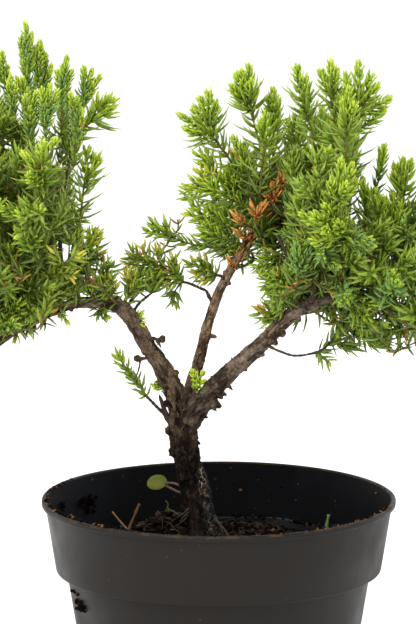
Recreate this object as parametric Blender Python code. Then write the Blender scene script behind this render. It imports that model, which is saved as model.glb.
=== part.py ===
"""Young garden juniper in its thin grow pot, stood inside a round nursery pot.

Sizes are in millimetres and become metres in the scene. Z is up, and the origin is the middle
of the pot's flat underside. Each limb and each mass of foliage is one closed solid.
"""
import math

import bmesh
import bpy
from mathutils import Vector, noise

MM = 0.001
GAP = 0.35              # between pieces that touch

# Pot: outer radius and height of each turn of the wall
POT_HEIGHT = 110.0
RIM_RADIUS = 65.0
LIP_HEIGHT = 2.0
LIP_PROUD = 1.4
LIP_ROUND = 0.7
LIP_UNDERCUT = 0.4
COLLAR_RADIUS = 59.9
COLLAR_FOOT = 83.6              # the collar steps in here, square to the wall
COLLAR_ROUND = 0.6
NECK_RADIUS = 56.1
NECK_RING = 21.0                # from the step down to a ring of the wall
FOOT_RADIUS = 42.5
FOOT_ROUND = 1.2
WALL = 1.6
FLOOR = 2.2
POT_SEGMENTS = 36
DRAIN_HOLES = 6
DRAIN_RADIUS = 4.0
DRAIN_CIRCLE = 30.0
DRAIN_SIDES = 12

# Grow pot: the thin pot round the roots, on the floor of the other
GROW_TOP = 93.0
GROW_RIM = 46.3
GROW_LIP_HEIGHT = 1.8
GROW_LIP_PROUD = 1.3
GROW_FOOT_RADIUS = 33.5
GROW_WALL = 1.0
GROW_SEGMENTS = 32

# Soil
SOIL_EDGE = 90.6        # height where it meets the grow pot's wall
SOIL_RINGS = 6
SOIL_SEGMENTS = 24
SOIL_UNEVEN = 1.0
CLOD_SPACING = 9.0
MOUND_REACH = 38.0      # how far the mound runs out from the trunk
TRUNK_SEAT = 11.5       # radius of the level patch under the trunk

# Trunk and boughs: the middle line of each, and its radius at both ends
TRUNK_FOOT = Vector((-5.7, 8.0, 94.6))
TRUNK_LINE = [tuple(TRUNK_FOOT), (-8.2, 7.4, 102.0), (-10.2, 6.2, 112.0), (-12.0, 4.0, 125.0),
              (-13.2, 2.2, 139.5)]
TRUNK_RADII = (5.2, 3.9, 4.3, 4.9, 5.6)
ROOT_RIDGES = 5
ROOT_FLARE = 3.2        # how far a root ridge stands out at the soil
ROOT_HOLLOW = 0.35      # flare between two ridges, as a share of a ridge's
FLARE_HEIGHT = 11.0
FORK = Vector((-13.2, 2.2, 140.0))

LEFT_LINE = [tuple(FORK), (-18.8, -4.0, 156.0), (-25.6, -8.0, 167.8), (-33.1, -11.0, 180.4),
             (-38.5, -12.0, 183.6), (-51.8, -14.0, 184.3), (-69.6, -18.0, 177.3), (-88.0, -22.0, 165.5)]
LEFT_RADII = (4.3, 3.5, 3.1, 2.9, 2.4, 2.0, 1.7, 1.3)
MIDDLE_LINE = [tuple(FORK), (-7.2, 6.0, 159.6), (-2.0, 9.0, 179.3), (5.0, 12.0, 193.7), (12.4, 15.0, 205.0)]
MIDDLE_RADII = (3.2, 2.1, 1.7, 1.5, 1.4)
RIGHT_LINE = [tuple(FORK), (2.3, -3.0, 155.7), (15.7, -8.0, 168.6), (25.0, -11.0, 178.8),
              (30.4, -12.0, 182.4), (44.5, -12.0, 185.6), (66.0, -6.0, 188.0)]
RIGHT_RADII = (4.3, 3.4, 3.0, 2.7, 2.3, 1.9, 1.4)
BENT_BOUGHS = ("bough_left", "bough_right")
LOWER_POINTS = 4        # points of a bent bough up to its bend, where it is split
RIGHT_TWIG_LINE = [(18.2, -11.2, 166.4), (22.0, -13.0, 164.8), (28.0, -13.5, 164.2), (34.5, -13.0, 166.4)]
TRUNK_TWIG_LINE = [(-19.8, 0.6, 138.0), (-22.6, -1.4, 142.2), (-25.8, -3.6, 147.2)]

TRUNK_SIDES = 12
LIMB_SIDES = 8
TWIG_SIDES = 6
LIMB_STEP = 7.0         # between the rings of a limb

# Foliage
MASS_SIDES = 14
SPRIG_SIDES = 8
UNEVEN = 0.22           # of a mass's radius
LUMP_SIZE = 1.7         # lumps per radius
LUMP_STEP = 3.7         # apart, so that no two masses have the same lumps
CUT_SPAN = 1.6          # of a mass's radius: a limb further off than this doesn't cut it
TIP_SPREAD = 0.38       # radians either side of a tip that swell out to it

BARK = (0.115, 0.078, 0.052, 1.0)
POT_GREY = (0.052, 0.048, 0.045, 1.0)
SOIL_BROWN = (0.032, 0.022, 0.016, 1.0)
LEAF_GREEN = (0.09, 0.21, 0.045, 1.0)

# Name, middle, radii along X, Y and Z, and the furthest shoot tips
MASSES = [
    ("foliage_left_top", (-71, -10, 253), (17, 25, 22),
     [(-68.3, -12, 285.5), (-54.3, -8, 271.6), (-80, -15, 273)]),
    ("foliage_left_inner", (-51, -4, 238), (13, 24, 20),
     [(-46.2, -5, 268.9), (-36.6, -5, 257.0), (-42.8, -5, 237)]),
    ("foliage_left_outer_top", (-97, -6, 241), (19, 28, 23), [(-92, -8, 272), (-112, -2, 256)]),
    ("foliage_left_front", (-68, -44, 224), (27, 22, 27), [(-60, -60, 248), (-84, -56, 246)]),
    ("foliage_left_back", (-72, 34, 226), (29, 24, 28), [(-66, 48, 254), (-90, 50, 240)]),
    ("foliage_left_middle", (-66, -8, 214), (25, 21, 20), [(-41, -8, 216)]),
    ("foliage_left_outer", (-108, -8, 208), (24, 31, 25), [(-134, -6, 220), (-128, 14, 196)]),
    ("foliage_left_low_inner", (-56, -6, 198), (21, 26, 12), [(-37.6, -5, 197)]),
    ("foliage_left_low_front", (-86, -44, 197), (26, 21, 18), [(-84, -64, 190)]),
    ("foliage_left_low_back", (-84, 26, 195), (26, 24, 19), [(-92, 48, 186)]),
    ("foliage_left_end", (-106, -22, 172), (22, 25, 15), [(-124, -24, 160)]),
    ("foliage_middle_low", (-22, 3, 197), (22, 12, 9), [(-43.2, 0, 196.3), (-32.3, 2, 204.5)]),
    ("foliage_middle_shoot", (-14, 15, 211), (12, 10, 6.5), [(-27, 14, 212.5)]),
    ("foliage_right_inner_top", (0, 10, 237), (13, 21, 20),
     [(-14.8, 10, 250.1), (-5, 10, 258.5), (7.7, 8, 267.4)]),
    ("foliage_right_top", (22, 5, 241), (14, 22, 19), [(28.4, 6, 268.7), (20.5, 8, 261.2)]),
    ("foliage_right_outer_top", (46, 2, 243), (16, 25, 21),
     [(50, 4, 269.9), (62, 2, 257.4), (40.3, 4, 269.2)]),
    ("foliage_right_front", (43, -38, 223), (23, 22, 23), [(46, -58, 240), (30, -54, 234)]),
    ("foliage_right_back", (24, 46, 222), (33, 24, 28), [(14, 62, 244), (42, 58, 238)]),
    ("foliage_right_middle", (32, 4, 213), (25, 22, 16), []),
    ("foliage_right_outer_high", (72, 2, 222), (17, 28, 21), [(67.5, 0, 240), (86, 4, 243)]),
    ("foliage_right_outer", (86, -2, 198), (25, 30, 21), [(112, -4, 206), (104, -20, 190)]),
    ("foliage_right_low_inner", (8, 20, 208), (16, 16, 14), []),
    ("foliage_right_low_middle", (26, 8, 188), (15, 13, 10), [(13, 8, 190), (25, 8, 175)]),
    ("foliage_right_low_front", (62, -38, 199), (23, 20, 16), [(64, -56, 192)]),
    ("foliage_right_low_back", (56, 36, 196), (26, 22, 19), [(60, 56, 186)]),
    ("foliage_right_hanging", (66, -2, 176), (20, 18, 10), [(72, 0, 165)]),
]
SPRIGS = [
    ("sprig_right", (41, -12, 168.5), (9.5, 6, 5.5), [(47.6, -10, 174), (40.5, -12, 162.6)]),
    ("sprig_trunk", (-32, -6, 156.5), (5.5, 4.5, 10), [(-38.2, -6, 166), (-27.5, -5, 148.5)]),
    ("sprig_middle", (-15.2, 4, 182.5), (5, 5, 6), [(-14.1, 5, 176.5)]),
]


def clear_scene():
    """Remove the objects that a new file starts with."""
    for old in list(bpy.data.objects):
        bpy.data.objects.remove(old, do_unlink=True)


def make_material(name, colour, roughness):
    """A plain Principled material, not metallic."""
    material = bpy.data.materials.new(name)
    material.use_nodes = True
    material.diffuse_color = colour
    shader = material.node_tree.nodes["Principled BSDF"]
    shader.inputs["Base Color"].default_value = colour
    shader.inputs["Roughness"].default_value = roughness
    shader.inputs["Metallic"].default_value = 0.0
    return material


def add_object(name, bm, colour, roughness):
    """Turn a bmesh in millimetres into an object of its own, in metres."""
    bmesh.ops.recalc_face_normals(bm, faces=bm.faces[:])
    bmesh.ops.scale(bm, vec=(MM, MM, MM), verts=bm.verts[:])
    mesh = bpy.data.meshes.new(name)
    bm.to_mesh(mesh)
    bm.free()
    mesh.shade_smooth()
    mesh.set_sharp_from_angle(angle=math.radians(50))
    mesh.materials.append(make_material(name, colour, roughness))
    obj = bpy.data.objects.new(name, mesh)
    bpy.context.collection.objects.link(obj)
    return obj


def turn(profile, segments):
    """Spin a profile of (radius, height) points round the Z axis into a closed solid."""
    bm = bmesh.new()
    verts = [bm.verts.new((radius, 0.0, height)) for radius, height in profile]
    for first, second in zip(verts, verts[1:]):
        bm.edges.new((first, second))
    bmesh.ops.spin(bm, geom=bm.verts[:] + bm.edges[:], cent=(0, 0, 0), axis=(0, 0, 1),
                   angle=math.tau, steps=segments, use_merge=True)
    bmesh.ops.remove_doubles(bm, verts=bm.verts[:], dist=0.001)
    return bm


def outer_wall():
    """The pot's outer profile, from the foot up to the underside of the lip."""
    slope = (NECK_RADIUS - FOOT_RADIUS) / COLLAR_FOOT
    return [
        (FOOT_RADIUS - FOOT_ROUND, 0.0),
        (FOOT_RADIUS, FOOT_ROUND),
        (NECK_RADIUS - slope * NECK_RING, COLLAR_FOOT - NECK_RING),
        (NECK_RADIUS, COLLAR_FOOT),
        (COLLAR_RADIUS - COLLAR_ROUND, COLLAR_FOOT),
        (COLLAR_RADIUS, COLLAR_FOOT + COLLAR_ROUND),
        (RIM_RADIUS - LIP_PROUD, POT_HEIGHT - LIP_HEIGHT - LIP_UNDERCUT),
    ]


def inner_wall():
    """The pot's inner profile, from the mouth down to the floor."""
    return [
        (RIM_RADIUS - LIP_PROUD - WALL / 2, POT_HEIGHT),
        (RIM_RADIUS - LIP_PROUD - WALL, POT_HEIGHT - LIP_ROUND),
        (COLLAR_RADIUS - WALL, COLLAR_FOOT + WALL),
        (NECK_RADIUS - WALL, COLLAR_FOOT + WALL),
        (FOOT_RADIUS - WALL, FLOOR),
    ]


def make_pot():
    """The turned wall and floor, with the drain holes cut through the floor."""
    lip = [(RIM_RADIUS, POT_HEIGHT - LIP_HEIGHT), (RIM_RADIUS, POT_HEIGHT - LIP_ROUND),
           (RIM_RADIUS - LIP_ROUND, POT_HEIGHT)]
    profile = [(0.0, 0.0)] + outer_wall() + lip + inner_wall() + [(0.0, FLOOR)]
    pot = add_object("pot", turn(profile, POT_SEGMENTS), POT_GREY, 0.5)
    bm = bmesh.new()
    for index in range(DRAIN_HOLES):
        angle = math.tau * index / DRAIN_HOLES
        hole = bmesh.ops.create_cone(bm, cap_ends=True, segments=DRAIN_SIDES, radius1=DRAIN_RADIUS,
                                     radius2=DRAIN_RADIUS, depth=FLOOR * 3)
        place = Vector((DRAIN_CIRCLE * math.cos(angle), DRAIN_CIRCLE * math.sin(angle), FLOOR / 2))
        bmesh.ops.translate(bm, verts=hole["verts"], vec=place)
    cutter = add_object("drain_cutter", bm, POT_GREY, 0.5)
    cutter.hide_render = True
    cutter.display_type = "WIRE"
    cut = pot.modifiers.new("Drain holes", "BOOLEAN")
    cut.operation = "DIFFERENCE"
    cut.object = cutter


def grow_inner_wall():
    """The grow pot's inner profile, from its mouth down to its floor."""
    return [
        (GROW_RIM - GROW_LIP_PROUD - GROW_WALL, GROW_TOP),
        (GROW_FOOT_RADIUS - GROW_WALL, FLOOR + GAP + GROW_WALL),
    ]


def make_grow_pot():
    """The thin inner pot, a tapering cup with a small lip."""
    foot = FLOOR + GAP
    outside = [(0.0, foot), (GROW_FOOT_RADIUS, foot),
               (GROW_RIM - GROW_LIP_PROUD, GROW_TOP - GROW_LIP_HEIGHT),
               (GROW_RIM, GROW_TOP - GROW_LIP_HEIGHT), (GROW_RIM, GROW_TOP)]
    profile = outside + grow_inner_wall() + [(0.0, foot + GROW_WALL)]
    add_object("grow_pot", turn(profile, GROW_SEGMENTS), POT_GREY, 0.5)


def soil_height(x, y):
    """The soil's surface: a mound round the trunk, level under it and uneven elsewhere."""
    away = math.hypot(x - TRUNK_FOOT.x, y - TRUNK_FOOT.y)
    seat = TRUNK_FOOT.z - GAP
    share = min(max((away - TRUNK_SEAT) / (MOUND_REACH - TRUNK_SEAT), 0.0), 1.0)
    fall = share * share * (3 - 2 * share)
    rough = SOIL_UNEVEN * noise.noise(Vector((x, y, POT_HEIGHT)) / CLOD_SPACING)
    return seat + (SOIL_EDGE - seat) * fall + rough * min(share * 4, 1.0)


def make_soil():
    """The root ball: it fills the grow pot up to an uneven, mounded surface."""
    high, low = grow_inner_wall()
    share = (SOIL_EDGE - low[1]) / (high[1] - low[1])
    brim = low[0] + (high[0] - low[0]) * share - GAP
    foot = low[1] + GAP
    wall = [(low[0] - GAP, foot)]
    surface = [(brim * (1 - ring / SOIL_RINGS), SOIL_EDGE) for ring in range(SOIL_RINGS)]
    profile = [(0.0, foot)] + wall + surface + [(0.0, SOIL_EDGE)]
    bm = turn(profile, SOIL_SEGMENTS)
    for vert in bm.verts:
        if vert.co.z > SOIL_EDGE - 0.01 and vert.co.xy.length < brim - 0.1:
            vert.co.z = soil_height(vert.co.x, vert.co.y)
    add_object("soil", bm, SOIL_BROWN, 0.95)


def smooth_line(points, share):
    """A point on a smooth curve through the given points, and its direction."""
    points = [Vector(point) for point in points]
    last = len(points) - 1
    place = min(max(share, 0.0), 1.0) * last
    index = min(int(place), last - 1)
    step = place - index
    before = points[index - 1] if index > 0 else points[0] * 2 - points[1]
    after = points[index + 2] if index + 2 <= last else points[last] * 2 - points[last - 1]
    start, end = points[index], points[index + 1]
    pull_start = (end - before) / 2
    pull_end = (after - start) / 2
    co = (start * (2 * step ** 3 - 3 * step ** 2 + 1) + pull_start * (step ** 3 - 2 * step ** 2 + step)
          + end * (3 * step ** 2 - 2 * step ** 3) + pull_end * (step ** 3 - step ** 2))
    direction = (start * (6 * step ** 2 - 6 * step) + pull_start * (3 * step ** 2 - 4 * step + 1)
                 + end * (6 * step - 6 * step ** 2) + pull_end * (3 * step ** 2 - 2 * step))
    return co, direction.normalized()


def limb_rings(line, radii):
    """The middle, direction and radius of each ring along a limb."""
    length = sum((Vector(b) - Vector(a)).length for a, b in zip(line, line[1:]))
    count = max(3, round(length / LIMB_STEP) + 1)
    rings = []
    for index in range(count):
        share = index / (count - 1)
        co, direction = smooth_line(line, share)
        place = share * (len(radii) - 1)
        low = min(int(place), len(radii) - 2)
        radius = radii[low] + (radii[low + 1] - radii[low]) * (place - low)
        rings.append((co, direction, radius))
    return rings


def limb_mesh(rings, sides, level_foot=False):
    """A closed tapering tube through the rings."""
    bm = bmesh.new()
    loops = []
    for index, (co, direction, radius) in enumerate(rings):
        if level_foot and index == 0:
            direction = Vector((0, 0, 1))
        matrix = direction.to_track_quat("Z", "Y").to_matrix().to_4x4()
        matrix.translation = co
        circle = bmesh.ops.create_circle(bm, segments=sides, radius=radius, matrix=matrix)
        loops.append([edge for edge in bm.edges if edge.verts[0] in circle["verts"]])
    for lower, upper in zip(loops, loops[1:]):
        bmesh.ops.bridge_loops(bm, edges=lower + upper)
    bmesh.ops.holes_fill(bm, edges=bm.edges[:], sides=sides)
    return bm


def trim(bm, point, outward):
    """Cut away what lies past a plane, and close the cut."""
    geometry = bm.verts[:] + bm.edges[:] + bm.faces[:]
    cut = bmesh.ops.bisect_plane(bm, geom=geometry, plane_co=point, plane_no=outward, clear_outer=True)
    edges = [item for item in cut["geom_cut"] if isinstance(item, bmesh.types.BMEdge)]
    if edges:
        bmesh.ops.triangle_fill(bm, edges=edges, use_beauty=True, normal=outward)


def make_trunk():
    """The trunk, from its level cut at the soil, with root ridges, to the fork."""
    rings = limb_rings(TRUNK_LINE, TRUNK_RADII)
    bm = limb_mesh(rings, TRUNK_SIDES, level_foot=True)
    for vert in bm.verts:
        rise = vert.co.z - TRUNK_FOOT.z
        if rise < FLARE_HEIGHT:
            centre = smooth_line(TRUNK_LINE, rise / (FORK.z - TRUNK_FOOT.z))[0]
            out = Vector((vert.co.x - centre.x, vert.co.y - centre.y, 0.0))
            ridge = 0.5 + 0.5 * math.cos(ROOT_RIDGES * math.atan2(out.y, out.x))
            spread = (1 - rise / FLARE_HEIGHT) ** 2
            vert.co += out.normalized() * ROOT_FLARE * spread * (ROOT_HOLLOW + (1 - ROOT_HOLLOW) * ridge)
    trim(bm, FORK, Vector((0, 0, 1)))
    add_object("trunk", bm, BARK, 0.9)


def make_boughs():
    """The three main boughs, parted from the trunk by a level plane and from each other halfway.

    The left and the right one are split at their bends.
    """
    boughs = {"bough_left": (LEFT_LINE, LEFT_RADII), "bough_middle": (MIDDLE_LINE, MIDDLE_RADII),
              "bough_right": (RIGHT_LINE, RIGHT_RADII)}
    headings = {name: (Vector(line[1]) - FORK).normalized() for name, (line, _radii) in boughs.items()}
    for name, (line, radii) in boughs.items():
        below = FORK - headings[name] * radii[0]
        rings = limb_rings([tuple(below)] + line, (radii[0],) + radii)
        bend, across = smooth_line(line, (LOWER_POINTS - 1) / (len(line) - 1))
        stretches = [(name, None)]
        if name in BENT_BOUGHS:
            stretches = [(name, across), (name + "_outer", -across)]
        for stretch, past in stretches:
            bm = limb_mesh(rings, LIMB_SIDES)
            trim(bm, FORK + Vector((0, 0, GAP)), Vector((0, 0, -1)))
            for other, heading in headings.items():
                if other != name:
                    between = (heading - headings[name]).normalized()
                    trim(bm, FORK - between * GAP / 2, between)
            if past:
                trim(bm, bend - past * GAP / 2, past)
            add_object(stretch, bm, BARK, 0.9)
        yield rings


def make_twigs():
    """The two twigs that show on their own, each starting square against its limb."""
    for name, line, radii in [("twig_right", RIGHT_TWIG_LINE, (0.9, 0.8, 0.7)),
                              ("twig_trunk", TRUNK_TWIG_LINE, (0.9, 0.7))]:
        rings = limb_rings(line, radii)
        add_object(name, limb_mesh(rings, TWIG_SIDES), BARK, 0.9)
        yield rings


def reach(radii, direction):
    """How far an ellipsoid of these radii stands out along a direction."""
    return math.sqrt(sum((radius * part) ** 2 for radius, part in zip(radii, direction)))


def mass_mesh(centre, radii, tips, sides, seed):
    """An uneven closed blob that swells out to each of its shoot tips."""
    bm = bmesh.new()
    bmesh.ops.create_uvsphere(bm, u_segments=sides, v_segments=sides // 2 + 1, radius=1.0)
    pulls = []
    for tip in tips:
        out = Vector([(tip[axis] - centre[axis]) / radii[axis] for axis in range(3)])
        pulls.append((out.normalized(), out.length))
    for vert in bm.verts:
        heading = vert.co.normalized()
        size = 1.0 + UNEVEN * noise.noise(heading * LUMP_SIZE + Vector((seed * LUMP_STEP, 0, 0)))
        for out, length in pulls:
            nearness = math.exp(-(heading.angle(out) / TIP_SPREAD) ** 2)
            size += (length - size) * nearness
        vert.co = heading * size
    for out, length in pulls:
        nearest = min(bm.verts, key=lambda vert: vert.co.normalized().angle(out))
        nearest.co = out * length
    for vert in bm.verts:
        vert.co = Vector([centre[axis] + vert.co[axis] * radii[axis] for axis in range(3)])
    return bm


def clear_limbs(bm, centre, radii, limbs):
    """Cut a mass back wherever a limb passes or ends in it."""
    span = max(radii) * CUT_SPAN
    for rings in limbs:
        for co, direction, radius in rings:
            inward = centre - co
            if inward.length > span or inward.length < 0.1:
                continue
            inward.normalize()
            width = radius * math.sqrt(max(0.0, 1 - inward.dot(direction) ** 2))
            trim(bm, co + inward * (width + GAP), -inward)


def make_masses(limbs):
    """All the foliage: each mass is cut off halfway to its neighbours and clear of the limbs."""
    table = [row + (MASS_SIDES,) for row in MASSES] + [row + (SPRIG_SIDES,) for row in SPRIGS]
    for seed, (name, centre, radii, tips, sides) in enumerate(table):
        centre = Vector(centre)
        bm = mass_mesh(centre, radii, tips, sides, seed)
        for other, other_centre, other_radii, _tips, _sides in table:
            if other == name:
                continue
            across = Vector(other_centre) - centre
            between = across.normalized()
            mine = reach(radii, between)
            theirs = reach(other_radii, between)
            middle = across.length * mine / (mine + theirs)
            trim(bm, centre + between * (middle - GAP / 2), between)
        clear_limbs(bm, centre, radii, limbs)
        add_object(name, bm, LEAF_GREEN, 0.7)


def main():
    """Build the whole plant in its pot."""
    clear_scene()
    make_pot()
    make_grow_pot()
    make_soil()
    make_trunk()
    limbs = list(make_boughs()) + list(make_twigs())
    limbs.append(limb_rings(TRUNK_LINE, TRUNK_RADII))
    make_masses(limbs)


main()
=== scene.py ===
"""Potted garden juniper: bark, twigs, needles, pot and compost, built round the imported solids.

The plant grows in the row frame, in metres, with Z up and the origin under the middle of the pot.
Run it as a script: main() registers the operators and calls them in order.
"""

import math
from collections import namedtuple

import bmesh
import bpy
import numpy as np
from mathutils import Matrix, Vector, noise
from mathutils.bvhtree import BVHTree


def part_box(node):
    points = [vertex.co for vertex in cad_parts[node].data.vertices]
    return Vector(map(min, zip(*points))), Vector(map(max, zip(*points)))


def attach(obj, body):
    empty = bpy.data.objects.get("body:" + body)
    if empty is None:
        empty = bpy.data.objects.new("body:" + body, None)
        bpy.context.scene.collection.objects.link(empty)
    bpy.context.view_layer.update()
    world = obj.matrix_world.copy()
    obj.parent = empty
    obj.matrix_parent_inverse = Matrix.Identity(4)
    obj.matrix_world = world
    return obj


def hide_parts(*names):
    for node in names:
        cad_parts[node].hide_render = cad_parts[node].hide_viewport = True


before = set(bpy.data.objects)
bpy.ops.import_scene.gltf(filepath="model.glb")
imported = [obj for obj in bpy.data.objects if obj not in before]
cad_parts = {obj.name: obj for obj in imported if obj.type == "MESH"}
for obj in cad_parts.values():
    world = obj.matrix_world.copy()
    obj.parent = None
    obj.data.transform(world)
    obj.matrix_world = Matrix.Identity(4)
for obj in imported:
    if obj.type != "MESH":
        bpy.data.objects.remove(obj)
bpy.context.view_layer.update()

bl_info = {
    "name": "Potted Juniper",
    "version": (1, 0, 0),
    "blender": (4, 5, 0),
    "location": "3D View > Sidebar > Juniper",
    "description": "Builds a young garden juniper in its nursery pot, needle by needle",
    "category": "Object",
}

MM = 0.001
UP = np.array((0.0, 0.0, 1.0))
BLACK = (0, 0, 0)
WHITE = (1, 1, 1)

# Middle lines of the limbs in millimetres, each point with the limb's radius there
LIMBS = {
    "trunk": [(-5.7, 8, 94, 5.6), (-8.2, 7.4, 102, 4.4), (-10.2, 6.2, 112, 4.1), (-12, 4, 125, 4.9),
        (-13.2, 2.2, 136, 5.4), (-13.6, 1.8, 142, 4.6)],
    "left": [(-13.2, 2.2, 138, 4.4), (-15.6, -1, 147.5, 4), (-18.8, -4, 156, 3.6), (-25.6, -8, 167.8, 3.1),
        (-33.1, -11, 180.4, 2.9), (-38.5, -12, 183.6, 2.5), (-51.8, -14, 184.3, 2),
        (-69.6, -18, 177.3, 1.7), (-88, -22, 165.5, 1.3), (-102, -22, 161.5, 0.9)],
    "middle": [(-12.6, 2.8, 140, 3), (-7.2, 6, 159.6, 2.3), (-2, 9, 179.3, 1.9), (5, 12, 193.7, 1.75),
        (12.4, 15, 205, 1.7), (19.5, 17, 220, 1.5), (22.5, 16, 232, 0.9)],
    "right": [(-11.4, -0.6, 138.4, 4.6), (-5.4, -1.6, 146.4, 4.1), (2.3, -3, 155.7, 3.5),
        (15.7, -8, 168.6, 3.1), (25, -11, 178.8, 2.8), (30.4, -12, 182.4, 2.3), (44.5, -12, 185.6, 1.9),
        (66, -6, 188, 1.4), (86, -4, 192, 0.9)],
    "root_right": [(-8, 4, 123, 1.2), (-6.2, 3, 117, 2.1), (-4.8, 2.8, 110, 2), (-3, 2.6, 102.5, 2.3),
        (-1.2, 2.2, 93, 2.6)],
    "root_middle": [(-8.4, 5.4, 118, 2.2), (-6.6, 4.6, 106, 2.6), (-4.6, 4.2, 93, 3.2)],
    "root_front": [(-9, 4.5, 112, 2.2), (-8.4, 2.4, 101, 2.2), (-7.4, 1, 93, 2.4)],
}
# How ruddy, how smooth and how mossy the bark of each limb is
BARK_KINDS = {
    "trunk": (0.2, 0, 0),
    "left": (0.15, 0.1, 0),
    "middle": (1, 0.3, 0),
    "right": (0.1, 1, 0),
    "root_right": (0, 0, 1),
    "root_middle": (0.2, 0, 0.15),
    "root_front": (0.3, 0, 0.1),
}
# Stubs and knots: the limb, where each ends and its radius, in millimetres
STUBS = [
    ("trunk", (-18.6, 3, 126), 1.7), ("trunk", (-19.6, 1.4, 134.4), 1.7),
    ("trunk", (-6.6, 3.4, 129.6), 0.9), ("trunk", (-7, 4, 126.4), 1.5), ("trunk", (-14.2, -2.6, 127.2), 2),
    ("trunk", (-10.4, -2.6, 131.6), 1.8), ("trunk", (-13.2, 0.4, 117), 1.6),
    ("trunk", (-13.4, 5, 104), 1.3), ("trunk", (-15.6, 4, 121.6), 1.2), ("left", (-14.4, -3.2, 157.6), 1.1),
    ("left", (-20.8, -1.8, 144.6), 1.1), ("left", (-17.6, -6.6, 148), 1.6), ("left", (-23.4, -4, 152.6), 1),
    ("left", (-21.4, -7, 165), 1.1), ("left", (-29.8, -7.6, 168.6), 0.9),
    ("left", (-28.4, -11.6, 174.4), 1.2), ("left", (-36.4, -11, 186.8), 1.2),
    ("left", (-42, -14.6, 182), 0.9), ("left", (-53, -14, 181.4), 0.7), ("left", (-66, -17, 174.8), 0.7),
    ("left", (-44.6, -13, 186.6), 0.9), ("middle", (-0.6, 8, 168.4), 0.7),
    ("middle", (-7.8, 6.4, 164.6), 0.6), ("middle", (-4.8, 7.8, 176.4), 0.7),
    ("middle", (4.6, 10.4, 187.4), 0.7), ("middle", (2, 9.4, 192.6), 0.8),
    ("middle", (11.4, 12.6, 198), 0.8), ("middle", (14.6, 12.4, 208.6), 1),
    ("right", (-3.6, 0.6, 139.2), 0.8), ("right", (0.9, -1.4, 143.8), 1.2), ("right", (-0.4, -1, 142), 0.6),
    ("right", (-1, -3.6, 143.8), 1), ("right", (3, -2.6, 148.2), 0.8), ("right", (1.6, -4.4, 147.4), 1),
    ("right", (5.3, -3.6, 150.5), 0.6), ("right", (10.2, -5.6, 157.8), 0.8),
    ("right", (16.6, -8, 163.8), 0.9), ("right", (21.4, -9.6, 168.2), 1.1),
    ("right", (24.2, -10.6, 171.8), 1.3), ("right", (7.4, -8.4, 161.6), 1.3),
    ("right", (18.8, -11.4, 173.4), 1.2), ("right", (34, -14.4, 185.2), 1.9),
    ("right", (29.4, -14, 177.6), 0.8), ("right", (38, -12.4, 181.4), 0.7),
]
# Long strips peeling off the bark: limb, share, degrees, length and breadth in millimetres, tone
PEELS = [
    ("left", 0.1, 108, 10, 1.7, 4), ("left", 0.07, 78, 7, 2, 1), ("left", 0.085, 132, 8, 1.2, 3),
    ("left", 0.055, 96, 6, 1.4, 3), ("left", 0.12, 70, 7, 1.6, 0), ("left", 0.04, 112, 7, 1.4, 1),
    ("trunk", 0.95, 112, 7, 1.5, 3), ("trunk", 0.86, 80, 7, 1.6, 0), ("right", 0.055, 120, 7, 1.8, 1),
    ("middle", 0.1, 95, 7, 1.3, 1), ("left", 0.2, 85, 7, 1.6, 1), ("left", 0.16, 120, 8, 1.4, 0),
    ("right", 0.4, 110, 6, 1.2, 4), ("right", 0.3, 75, 6, 1, 1),
]
# Frayed patches of fibre: limb, first and last share, first and last degrees, how many, tone
FRAYS = [
    ("root_right", 0.1, 0.3, 60, 120, 14, 5), ("root_right", 0.12, 0.42, 30, 130, 16, 4),
    ("root_right", 0.36, 0.95, 20, 120, 34, 2), ("left", 0.04, 0.16, 60, 130, 30, 4),
    ("left", 0.18, 0.55, 40, 150, 30, 2), ("right", 0.36, 0.46, 40, 120, 14, 4),
    ("trunk", 0.5, 0.95, 30, 150, 24, 1), ("middle", 0.15, 0.6, 40, 150, 24, 2),
]
# Small flakes and broken twig feet: how many on each limb, and the share of it that they reach
FLAKES = {"trunk": (170, 1.0), "left": (260, 0.7), "middle": (230, 0.95), "right": (190, 0.7),
          "root_right": (90, 1.0)}
# Height in metres below which the flakes are painted near black, as painted shade at the trunk's foot
SHADED_FOOT_BELOW = 0.138
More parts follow.
